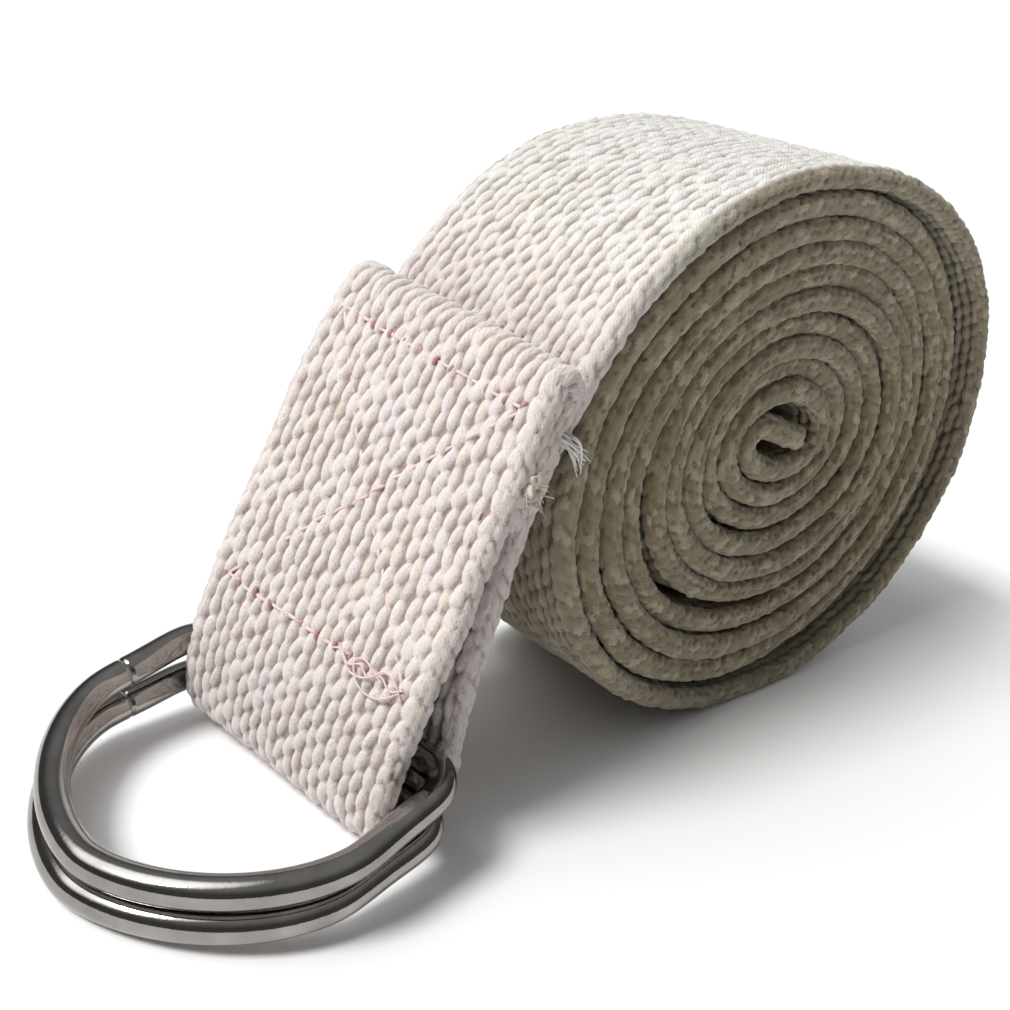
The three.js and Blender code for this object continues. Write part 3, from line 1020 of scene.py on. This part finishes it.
class Strap:
    """The whole strap: the coil, the outer turn cut at its hinges and the tab."""

    def __init__(self, webbing: Webbing) -> None:
        """Keeps the webbing that it is cut from."""
        self.webbing = webbing
        self.path = webbing.path

    def declare(self, length: float, rests: Sequence[str]) -> None:
        """Works out a length of webbing in metres; the result is not kept.

        Args:
            length: its length in millimetres.
            rests: not used.
        """
        (length + 0.6) * MM

    def on_line(self, s: float) -> tuple[float, float, float]:
        """Point of the middle line at a distance along the strap, in metres."""
        x, z = (float(np.interp(s, self.path.run, self.path.points[:, k])) * MM for k in (0, 1))
        return x, 0.0, z

    def coil(self) -> list[bpy.types.Object]:
        """The inner turns, which stay stiff together."""
        cuts = [0.4, 432.0, 868.0, self.path.coil_end - 262, self.path.coil_end - 128, self.path.coil_end - 5]
        out = []
        for i, (a, b) in enumerate(zip(cuts, cuts[1:])):
            near = i >= 3
            made = self.webbing.piece(f"coil_{i + 1}", a, b, 0.42, 0.34 if near else 0.33,
                                      None if near else 4.6)
            self.declare(b - a, ["strap_turn_01"])
            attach(made, "roll")
            out.append(made)
        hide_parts("webbing_roll")
        return out

    def turns(self) -> list[bpy.types.Object]:
        """The outer turn: one piece across each hinge."""
        h = self.path.hinge_runs
        bodies = ["roll", *(f"turn_{k:02d}" for k in range(1, self.path.sizes.pieces + 1)), "tab"]
        edges = [h[0] - 5, *((a + b) / 2 for a, b in zip(h, h[1:])), h[-1] + 5]
        out = []
        for i, (a, b) in enumerate(zip(edges, edges[1:])):
            made = self.webbing.piece(f"strap_turn_{i + 1:02d}", a, b, 0.34, 0.26)
            rests = ["coil_5"] if i == 0 else [f"strap_turn_{i:02d}"]
            self.declare(b - a, rests)
            reach = 0.9 * min(h[i] - a, b - h[i])
            start, end = (self.on_line(h[i] + way * reach) for way in (-1, 1))
            if i:
                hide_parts(f"webbing_turn_{i:02d}")
            bodies[i + 1]
            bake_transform(made)
            out.append(made)
        return out

    def tab(self) -> list[bpy.types.Object]:
        """The sewn tab: down, round the rings and back up to its hem."""
        start, end = self.path.hinge_runs[-1] + 5, self.path.length - 0.4
        middle = start + 74
        out = []
        for name, a, b in (("tab_main", start, middle), ("tab_top", middle, end)):
            made = self.webbing.piece(name, a, b, 0.30, 0.245)
            self.declare(b - a, ["strap_turn_16" if name == "tab_main" else "tab_main"])
            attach(made, "tab")
            out.append(made)
        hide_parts("webbing_tab")
        return out


# ---------------------------------------------------------------- sewing
@dataclass(frozen=True)
class SeamSizes:
    """The box-and-cross seam, in millimetres from the tab's folded end."""

    top: float = 5.5
    low: float = 41.7
    half: float = 16.0
    stitch: float = 3.0
    thread: float = 0.46
    arch: float = 0.26
    knot: float = 0.29
    loose: float = 0.125
    seed: int = 11


class StitchTree:
    """Geometry Nodes that lay one arched stitch on each point of a line of sewing."""

    def __init__(self, name: str, material: bpy.types.Material, sizes: SeamSizes) -> None:
        """Builds the tree.

        Args:
            name: the tree's name.
            material: the thread.
            sizes: the seam's sizes.
        """
        self.tree = bpy.data.node_groups.new(name, "GeometryNodeTree")
        face = self.tree.interface
        face.new_socket("Geometry", in_out="INPUT", socket_type="NodeSocketGeometry")
        self.inputs = {}
        for label, value in (("Stitch length", sizes.stitch * 0.97 * MM),
                             ("Thread radius", sizes.thread / 2 * MM), ("Arch", sizes.arch * MM)):
            socket = face.new_socket(label, in_out="INPUT", socket_type="NodeSocketFloat")
            socket.default_value = value
            self.inputs[label] = (socket.identifier, value)
        face.new_socket("Geometry", in_out="OUTPUT", socket_type="NodeSocketGeometry")
        nodes, link = self.tree.nodes, self.tree.links.new
        given, out = nodes.new("NodeGroupInput"), nodes.new("NodeGroupOutput")
        curve = nodes.new("GeometryNodeCurveQuadraticBezier")
        curve.inputs["Resolution"].default_value = 8
        ends = []
        for share in (-0.5, 0.5):
            scale = self.math("MULTIPLY", given.outputs["Stitch length"], share)
            where = nodes.new("ShaderNodeCombineXYZ")
            link(scale, where.inputs[0])
            drop = self.math("MULTIPLY", given.outputs["Arch"], -1.2)
            link(drop, where.inputs[2])
            ends.append(where.outputs[0])
        top = nodes.new("ShaderNodeCombineXYZ")
        link(self.math("MULTIPLY", given.outputs["Arch"], 2.4), top.inputs[2])
        for socket, value in zip(("Start", "Middle", "End"), (ends[0], top.outputs[0], ends[1])):
            link(value, curve.inputs[socket])
        mark = nodes.new("GeometryNodeStoreNamedAttribute")
        mark.data_type, mark.domain = "FLOAT", "POINT"
        mark.inputs["Name"].default_value = "end"
        along = nodes.new("GeometryNodeSplineParameter").outputs["Factor"]
        off = self.math("ABSOLUTE", self.math("SUBTRACT", along, 0.5), 0.0)
        link(curve.outputs[0], mark.inputs["Geometry"])
        link(self.math("MULTIPLY", off, 2.0), mark.inputs["Value"])
        circle = nodes.new("GeometryNodeCurvePrimitiveCircle")
        circle.inputs["Resolution"].default_value = 8
        link(given.outputs["Thread radius"], circle.inputs["Radius"])
        tube = nodes.new("GeometryNodeCurveToMesh")
        link(mark.outputs[0], tube.inputs["Curve"])
        link(circle.outputs[0], tube.inputs["Profile Curve"])
        tube.inputs["Fill Caps"].default_value = True
        points = nodes.new("GeometryNodeMeshToPoints")
        link(given.outputs["Geometry"], points.inputs[0])
        lay = nodes.new("GeometryNodeInstanceOnPoints")
        link(points.outputs[0], lay.inputs["Points"])
        link(tube.outputs[0], lay.inputs["Instance"])
        link(self.named("turn"), lay.inputs["Rotation"])
        link(self.named("stretch"), lay.inputs["Scale"])
        real = nodes.new("GeometryNodeRealizeInstances")
        link(lay.outputs[0], real.inputs[0])
        finish = nodes.new("GeometryNodeSetMaterial")
        finish.inputs["Material"].default_value = material
        link(real.outputs[0], finish.inputs[0])
        smooth = nodes.new("GeometryNodeSetShadeSmooth")
        link(finish.outputs[0], smooth.inputs[0])
        link(smooth.outputs[0], out.inputs[0])

    def math(self, operation: str, a: bpy.types.NodeSocket, b: float) -> bpy.types.NodeSocket:
        """A Math node on a socket and a number."""
        node = self.tree.nodes.new("ShaderNodeMath")
        node.operation = operation
        self.tree.links.new(a, node.inputs[0])
        node.inputs[1].default_value = b
        return node.outputs[0]

    def named(self, name: str) -> bpy.types.NodeSocket:
        """A named vector attribute."""
        node = self.tree.nodes.new("GeometryNodeInputNamedAttribute")
        node.data_type = "FLOAT_VECTOR"
        node.inputs[0].default_value = name
        return node.outputs[0]

    def lay(self, name: str, points: Array, turns: Array, stretch: Array) -> bpy.types.Object:
        """Lays the stitches and makes them a plain mesh.

        Args:
            name: the finished object's name.
            points: their places in metres.
            turns: their Euler angles.
            stretch: their scales.

        Returns:
            The mesh object.
        """
        mesh = bpy.data.meshes.new(name + "_points")
        mesh.from_pydata(points.tolist(), [], [])
        for label, values in (("turn", turns), ("stretch", stretch)):
            made = mesh.attributes.new(label, "FLOAT_VECTOR", "POINT")
            made.data.foreach_set("vector", np.ascontiguousarray(values, np.float32).ravel())
        seed = bpy.data.objects.new(name + "_points", mesh)
        bpy.context.scene.collection.objects.link(seed)
        modifier = seed.modifiers.new("stitches", "NODES")
        modifier.node_group = self.tree
        for identifier, value in self.inputs.values():
            modifier[identifier] = value
        graph = bpy.context.evaluated_depsgraph_get()
        plain = bpy.data.meshes.new_from_object(seed.evaluated_get(graph))
        bpy.data.objects.remove(seed)
        plain.name = name
        made = bpy.data.objects.new(name, plain)
        bpy.context.scene.collection.objects.link(made)
        return made


class Seam:
    """The box-and-cross seam through the tab, and its loose ends."""

    def __init__(self, webbing: Webbing, sizes: SeamSizes, needle: bpy.types.Material,
                 bobbin: bpy.types.Material, knot: bpy.types.Material) -> None:
        """Finds where the seam lies on the tab.

        Args:
            webbing: the webbing it is sewn through.
            sizes: the seam's sizes.
            needle: the outer thread's finish.
            bobbin: the inner thread's finish.
            knot: the finish of the thread where it dives.
        """
        self.webbing = webbing
        self.path = webbing.path
        self.sizes = sizes
        self.needle = needle
        self.bobbin = bobbin
        self.knot = knot
        after = self.path.run > self.path.turn_end + 70
        xy = self.path.points[after]
        self.fold_run = float(self.path.run[after][xy[:, 1].argmax()])
        self.turn_run = float(self.path.run[self.path.points[:, 0] < self.path.loop_x][0])

    def top_face(self, down: Array, y: Array, lift: float) -> Array:
        """Points on the tab's outer face.

        Args:
            down: distance below the folded end.
            y: place across.
            lift: height above the face.

        Returns:
            Points in metres.
        """
        w = self.webbing
        z = self.path.sizes
        q = z.thick / 2 - w.weave.corner + math.pi * w.weave.corner / 2 + (z.width / 2 - w.weave.corner) - y
        s = self.fold_run - down
        return w.place(s, q, lift) * MM

    def back_face(self, down: Array, y: Array, lift: float) -> Array:
        """Points on the inner face of the way down, behind the same places of the outer face."""
        w = self.webbing
        z = self.path.sizes
        q = z.thick / 2 - w.weave.corner + math.pi * w.weave.corner / 2 + (z.width / 2 - w.weave.corner) - y
        front = self.top_face(down, y, 0.0) / MM
        s = np.array([np.interp(-h, -self.main_z(), self.main_run()) for h in front[:, 2]])
        return w.place(s, q, lift) * MM

    def main_run(self) -> Array:
        """Distances along the way down."""
        on = (self.path.run > self.path.turn_end) & (self.path.run < self.turn_run - 8)
        return self.path.run[on]

    def main_z(self) -> Array:
        """Heights along the way down."""
        on = (self.path.run > self.path.turn_end) & (self.path.run < self.turn_run - 8)
        return self.path.points[on, 1]

    def lines(self) -> list[tuple[float, float, float, float, float]]:
        """The six lines of sewing as (y, down, y, down, how deep they sink between the floats)."""
        s = self.sizes
        a, b, h = s.top, s.low, s.half
        return [(-h, a, h, a, .23), (-h, b, h, b, .20), (-h, a, -h, b, .34),
                (h, a, h, b, .34), (-h, a, h, b, .25), (h, a, -h, b, .32)]

    def stitches(self, name: str, face: Callable, lift: float, material: bpy.types.Material,
                 tree: StitchTree) -> bpy.types.Object:
        """Sews all six lines on one face.

        Args:
            name: the object's name.
            face: gives points of that face.
            lift: height of a stitch's middle.
            material: the thread.
            tree: the stitch tree.

        Returns:
            The stitches as one mesh.
        """
        rng = np.random.default_rng(self.sizes.seed)
        points, turns, scales = [], [], []
        for y0, d0, y1, d1, sunk in self.lines():
            n = max(2, int(round(math.hypot(y1 - y0, d1 - d0) / self.sizes.stitch)))
            t = (np.arange(n) + 0.5) / n
            y, d = mix(y0, y1, t) + rng.normal(0, 0.12, n), mix(d0, d1, t) + rng.normal(0, 0.12, n)
            e = 0.5 / n
            depth = lift - sunk
            at = face(d, y, depth)
            a = face(d - e * (d1 - d0), y - e * (y1 - y0), depth)
            b = face(d + e * (d1 - d0), y + e * (y1 - y0), depth)
            up = face(d, y, depth + 1.0) - at
            for p, q, r, u in zip(at, a, b, up):
                x = (r - q) / np.linalg.norm(r - q)
                u = u - x * (u @ x)
                u /= np.linalg.norm(u)
                turn = Matrix((x, np.cross(u, x), u)).transposed().to_euler()
                points.append(p)
                turns.append(tuple(turn))
                scales.append((rng.uniform(0.9, 1.06), rng.uniform(0.85, 1.1), rng.uniform(0.7, 1.25)))
        return tree.lay(name, np.array(points), np.array(turns), np.array(scales))

    def build(self) -> list[bpy.types.Object]:
        """Sews both faces, and adds the loose thread and the frayed ends."""
        out = []
        front = StitchTree("needle_stitches", self.needle, self.sizes)
        made = self.stitches("needle_stitches", self.top_face, 0.02, self.needle, front)
        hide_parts("seam_needle_thread")
        out.append(made)
        back = StitchTree("bobbin_stitches", self.bobbin, self.sizes)
        made = self.stitches("bobbin_stitches", self.back_face, 0.04, self.bobbin, back)
        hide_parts("seam_bobbin_thread")
        out.append(made)
        out.append(self.holes())
        out.append(self.loose_thread())
        out.append(self.frayed())
        for made in out:
            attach(made, "tab")
        return out

    def holes(self) -> bpy.types.Object:
        """Short reddish knots where the needle thread dives, along the top and the lower line."""
        rng = np.random.default_rng(self.sizes.seed + 2)
        points, faces, count = [], [], 0
        for y0, d0, y1, d1, sunk in self.lines()[:2]:
            n = int(round((y1 - y0) / self.sizes.stitch))
            for k in range(n + 1):
                y, d = mix(y0, y1, k / n) + rng.normal(0, 0.1), mix(d0, d1, k / n) + rng.normal(0, 0.1)
                rise = np.array([-0.75, -0.3, 0.3, 0.75]) * rng.uniform(0.8, 1.2)
                lift = np.array([-0.40, 0.06, 0.06, -0.40]) - 0.8 * sunk + rng.normal(0, 0.06)
                at = self.top_face(d + rise, np.full(4, y) + rise * rng.normal(0, 0.2), lift)
                p, f = tube_mesh(smooth_path(at, 0.2 * MM), self.sizes.knot * MM, 8, False)
                faces += [tuple(i + count for i in one) for one in f]
                points.append(p)
                count += len(p)
        return mesh_object("needle_knots", np.vstack(points), faces, self.knot)

    def loose_thread(self) -> bpy.types.Object:
        """Tangled needle thread along the near end of the lower line."""
        low = self.sizes.low
        # each turn of thread as (across, past the line, height)
        turns = [
            [(-16.4, -0.2, .4), (-14.8, .7, .5), (-13, -.2, .6), (-11.2, .8, .5),
             (-9.6, -.1, .5), (-7.9, .7, .5), (-6.0, -.3, .4), (-4.4, .3, .1)],
            [(-15.9, .5, .4), (-14.4, 1.9, .6), (-12.6, 2.6, .5), (-10.7, 2.3, .6), (-9.3, 1.2, .6),
             (-8.6, -.2, .5), (-9.8, -.9, .6), (-11.6, -.4, .6), (-13.4, .5, .5)],
            [(-16.6, 1.2, .2), (-15.0, -.6, .6), (-13.3, -1.0, .6), (-11.9, .3, .7),
             (-10.4, 1.2, .6), (-8.7, 1.4, .5), (-7.0, .5, .4), (-5.4, -.8, .3)],
        ]
        points, faces = [], []
        for line in turns:
            line = np.array(line)
            at = np.array([self.top_face(np.array([low + d]), np.array([y]), lift)[0] for y, d, lift in line])
            p, f = tube_mesh(smooth_path(at, 0.25 * MM), self.sizes.loose * MM, 7, False)
            faces += [tuple(k + sum(map(len, points)) for k in one) for one in f]
            points.append(p)
        return mesh_object("loose_thread", np.vstack(points), faces, self.needle)

    def frayed(self) -> bpy.types.Object:
        """The frayed tuft at the hem's near edge and a white thread tail."""
        rng = np.random.default_rng(self.sizes.seed + 5)
        points, faces, count = [], [], 0
        near = -self.path.sizes.width / 2

        def jitter(size: float) -> Array:
            """A small random step in metres."""
            return rng.normal(0, size, 3) * MM

        def add(at: Array, radius: Array) -> None:
            """Adds one fibre bundle."""
            nonlocal count
            path = smooth_path(at, 0.3 * MM)
            radius = np.interp(np.linspace(0, 1, len(path)), np.linspace(0, 1, len(radius)), radius)
            p, f = tube_mesh(path, radius, 6, False)
            faces.extend(tuple(k + count for k in one) for one in f)
            points.append(p)
            count += len(p)

        root = self.top_face(np.array([13.0]), np.array([near + 0.8]), -3.6)[0]
        root = root - np.array([0, 1.25, 0.3]) * MM
        for k in range(86):
            thick = k < 26
            a = root + rng.normal(0, (0.5, 0.25, 1.0), 3) * MM
            d = np.array([rng.normal(-0.1, 0.4), -0.8 + rng.normal(0, 0.25), rng.normal(-0.4, 0.5)])
            reach = rng.uniform(0.9, 1.7) if thick else rng.uniform(1.2, 2.4)
            b = a + d * reach * 0.5 * MM + rng.normal(0, 0.25, 3) * MM
            c = a + d * reach * MM + rng.normal(0, 0.3, 3) * MM
            add(np.array([a, b, c]), np.array([0.40, 0.44, 0.28] if thick else [0.08, 0.07, 0.03]) * MM)
        tuft = len(points)
        start = self.top_face(np.array([7.5]), np.array([near + 0.4]), -5.6)[0]
        for _ in range(26):
            a = start + jitter(0.3)
            b = a + np.array([1.0, -1.8, 0.5]) * MM + jitter(0.25)
            c = a + np.array([2.4, -3.6, -0.5]) * MM + jitter(0.4)
            e = a + np.array([3.5 + rng.normal(0, 0.8), -5.2, -2.4 + rng.normal(0, 0.8)]) * MM + jitter(0.3)
            add(np.array([a, b, c, e]), np.array([0.15, 0.15, 0.12, 0.04]) * MM)
        made = mesh_object("frayed_ends", np.vstack(points), faces, self.bobbin)
        Webbing.store(made.data, "end", (np.arange(count) < sum(map(len, points[:tuft]))).astype(float))
        return made


# ---------------------------------------------------------------- rings
@dataclass(frozen=True)
class RingSizes:
    """A D-ring's sizes in millimetres, and how it lies, in degrees."""

    name: str
    node: str
    body: str
    bar_z: float
    rest_z: float
    yaw: float
    wire: float = 3.9
    half: float = 22.35
    depth: float = 34.6
    bow: float = 19.2
    power: float = 1.7
    corner: float = 5.0
    weld: float = 9.0
    joint: float = 13.0


class DRing:
    """A bent and butt-welded wire D-ring."""

    def __init__(self, sizes: RingSizes, bar_x: float, material: bpy.types.Material) -> None:
        """Keeps its sizes.

        Args:
            sizes: the ring's sizes.
            bar_x: where its bar lies.
            material: its finish.
        """
        self.sizes = sizes
        self.bar_x = bar_x
        self.material = material

    def line(self) -> Array:
        """The wire's middle line in the ring's own plane, as (out, across)."""
        z = self.sizes
        side = z.depth - z.bow
        pts = [(0.0, y) for y in np.linspace(-z.half + z.corner, z.half - z.corner, 9)]
        for a in np.radians((22.5, 45, 67.5)):
            pts.append((z.corner * (1 - math.cos(a)), z.half - z.corner * (1 - math.sin(a))))
        pts += [(z.corner, z.half), ((z.corner + side) / 2, z.half)]
        for a in np.radians(np.arange(0, 181, 7.5)):
            c, s = math.cos(a), math.sin(a)
            pts.append((side + z.bow * abs(s) ** (2 / z.power),
                        z.half * math.copysign(abs(c) ** (2 / z.power), c) if abs(c) > 1e-9 else 0.0))
        pts += [((z.corner + side) / 2, -z.half), (z.corner, -z.half)]
        for a in np.radians((67.5, 45, 22.5)):
            pts.append((z.corner * (1 - math.cos(a)), -z.half + z.corner * (1 - math.sin(a))))
        return smooth_path(np.array(pts), 0.2, closed=True)

    def build(self) -> bpy.types.Object:
        """Bends the wire, with the weld on its bar, and lays the ring down."""
        z = self.sizes
        flat = self.line()
        tilt = math.asin((z.bar_z - z.rest_z) / z.depth)
        yaw = math.radians(z.yaw)
        out, y = flat[:, 0], flat[:, 1]
        x3, z3 = -out * math.cos(tilt), -out * math.sin(tilt)
        x = self.bar_x + x3 * math.cos(yaw) - y * math.sin(yaw)
        yy = x3 * math.sin(yaw) + y * math.cos(yaw)
        path = np.stack([x, yy, z.bar_z + z3], 1)
        run = run_of(flat)
        on_bar = np.exp(-((y - z.weld) / 0.7) ** 2) * (out < 0.5)
        neck = np.exp(-((y - z.weld) / 0.22) ** 2) * (out < 0.5)
        joint = np.exp(-((out - z.joint) / 0.16) ** 2) * (y > 0.75 * z.half)
        radius = z.wire / 2 + 0.16 * on_bar - 0.10 * neck - 0.30 * joint + 0.012 * np.sin(run / 5.1)
        p, f = tube_mesh(path * MM, radius * MM, 36, True)
        made = mesh_object(z.name, p, f, self.material)
        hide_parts(z.node)
        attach(made, z.body)
        return made


# ---------------------------------------------------------------- studio
@dataclass(frozen=True)
class StudioSizes:
    """Camera and lights."""

    eye: tuple = (-0.1633, -0.1042, 0.0982)
    azimuth: float = -50.9
    elevation: float = 19.2
    roll: float = 11.5
    lens: float = 43.13
    shift: tuple = (-0.0762, -0.0515)


class Studio:
    """A pale floor, soft lights and the camera."""

    def __init__(self, sizes: StudioSizes) -> None:
        """Keeps its sizes."""
        self.sizes = sizes

    def floor(self) -> None:
        """Lays the floor."""
        s = 6.0
        corners = np.array([(-s, -s, 0), (s, -s, 0), (s, s, 0), (-s, s, 0)], float) - (0, 0, 2e-5)
        made = mesh_object("floor", corners, [(0, 1, 2, 3)], FloorFinish().make(), False)

    def sun(self, toward: tuple, power: float, spread: float) -> None:
        """Adds the soft main light.

        Args:
            toward: direction it comes from.
            power: its strength.
            spread: its angular size in degrees.
        """
        light = bpy.data.lights.new("main_light", "SUN")
        light.energy, light.angle, light.color = power, math.radians(spread), (1.0, 0.99, 0.975)
        made = bpy.data.objects.new("main_light", light)
        made.rotation_euler = Vector(toward).to_track_quat("Z", "Y").to_euler()
        bpy.context.scene.collection.objects.link(made)

    def sky(self) -> None:
        """A white room wall ahead of the camera, and dimmer light from above and from the near side."""
        world = bpy.data.worlds.new("studio")
        world.use_nodes = True
        tree = world.node_tree
        link = tree.links.new
        way = tree.nodes.new("ShaderNodeTexCoord").outputs["Generated"]

        def toward(direction: tuple, low: float, high: float, value: float) -> bpy.types.NodeSocket:
            """A soft patch of light round a direction.

            Args:
                direction: where its middle lies.
                low: cosine at which it starts.
                high: cosine at which it is full.
                value: its full strength.

            Returns:
                The patch's strength, as a socket.
            """
            dot = tree.nodes.new("ShaderNodeVectorMath")
            dot.operation = "DOT_PRODUCT"
            link(way, dot.inputs[0])
            dot.inputs[1].default_value = direction
            ramp = tree.nodes.new("ShaderNodeMapRange")
            ramp.interpolation_type = "SMOOTHSTEP"
            link(dot.outputs["Value"], ramp.inputs["Value"])
            for label, number in (("From Min", low), ("From Max", high), ("To Min", 0.0), ("To Max", value)):
                ramp.inputs[label].default_value = number
            return ramp.outputs["Result"]

        total = toward((0.74, 0.60, 0.0), 0.74, 0.89, 0.95)
        for patch in (((-0.50, 0.30, 0.81), 0.86, 0.98, 2.6), ((0.0, 0.0, 1.0), 0.35, 0.95, 0.28)):
            add = tree.nodes.new("ShaderNodeMath")
            link(total, add.inputs[0])
            link(toward(*patch), add.inputs[1])
            total = add.outputs[0]
        base = tree.nodes.new("ShaderNodeMath")
        link(total, base.inputs[0])
        base.inputs[1].default_value = 0.10
        back = tree.nodes["Background"]
        back.inputs[0].default_value = (0.98, 0.99, 1.0, 1)
        link(base.outputs[0], back.inputs[1])
        bpy.context.scene.world = world

    def build(self) -> None:
        """Sets up the floor, lights, world and camera."""
        self.floor()
        self.sun((-0.60, 0.13, 0.79), 2.6, 18.0)
        self.sky()
        bpy.context.scene.view_settings.view_transform = "Standard"
        z = self.sizes
        az, el, ro = map(math.radians, (z.azimuth, z.elevation, z.roll))
        back = Vector((math.sin(az) * math.cos(el), -math.cos(az) * math.cos(el), math.sin(el)))
        right = (-back).cross(Vector((0, 0, 1))).normalized()
        up = right.cross(-back)
        across = right * math.cos(ro) + up * math.sin(ro)
        upward = -right * math.sin(ro) + up * math.cos(ro)
        camera = bpy.data.objects.new("camera", bpy.data.cameras.new("camera"))
        camera.data.lens, camera.data.sensor_width = z.lens, 36.0
        camera.data.shift_x, camera.data.shift_y = z.shift
        camera.data.clip_start = 0.01
        turn = Matrix((across, upward, back)).transposed().to_4x4()
        camera.matrix_world = Matrix.Translation(Vector(z.eye)) @ turn
        bpy.context.scene.collection.objects.link(camera)
        bpy.context.scene.camera = camera


def main() -> None:
    """Builds the strap, its seam, its rings and the studio."""
    logging.basicConfig(level=logging.INFO, format="%(message)s")
    path = StrapPath(StrapSizes())
    LOG.info("strap length %.0f mm, hinges %d", path.length, len(path.hinge_runs))
    webbing = Webbing(path, WeaveSizes(), CottonFinish().make())
    strap = Strap(webbing)
    for group in (strap.coil(), strap.turns(), strap.tab()):
        for made in group:
            LOG.info("%s: %d faces", made.name, len(made.data.polygons))
    needle = ThreadFinish("sewing_thread", (0.76, 0.64, 0.62), (0.62, 0.42, 0.41)).make()
    bobbin = ThreadFinish("loose_cotton", (0.80, 0.79, 0.77), (0.62, 0.58, 0.52), (0.60, 0.54, 0.47)).make()
    knot = ThreadFinish("thread_knot", (0.47, 0.29, 0.28), (0.33, 0.17, 0.17)).make()
    for made in Seam(webbing, SeamSizes(), needle, bobbin, knot).build():
        LOG.info("%s: %d faces", made.name, len(made.data.polygons))
    nickel = NickelFinish().make()
    low = 0.2 + 3.1 + 1.35 + 1.95
    for sizes in (RingSizes("lower_d_ring", "d_ring_lower", "lower_ring", low, 2.05, 6.5),
                  RingSizes("upper_d_ring", "d_ring_upper", "upper_ring", low + 6.0, 6.3, 9.0)):
        made = DRing(sizes, path.bar_x, nickel).build()
        LOG.info("%s: %d faces", made.name, len(made.data.polygons))
    for name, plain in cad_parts.items():
        plain.data.materials.clear()
        plain.data.materials.append(nickel if name.startswith("d_ring") else
                                    (needle if name.startswith("seam") else webbing.material))
    Studio(StudioSizes()).build()
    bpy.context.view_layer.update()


if __name__ == "__main__":
    main()
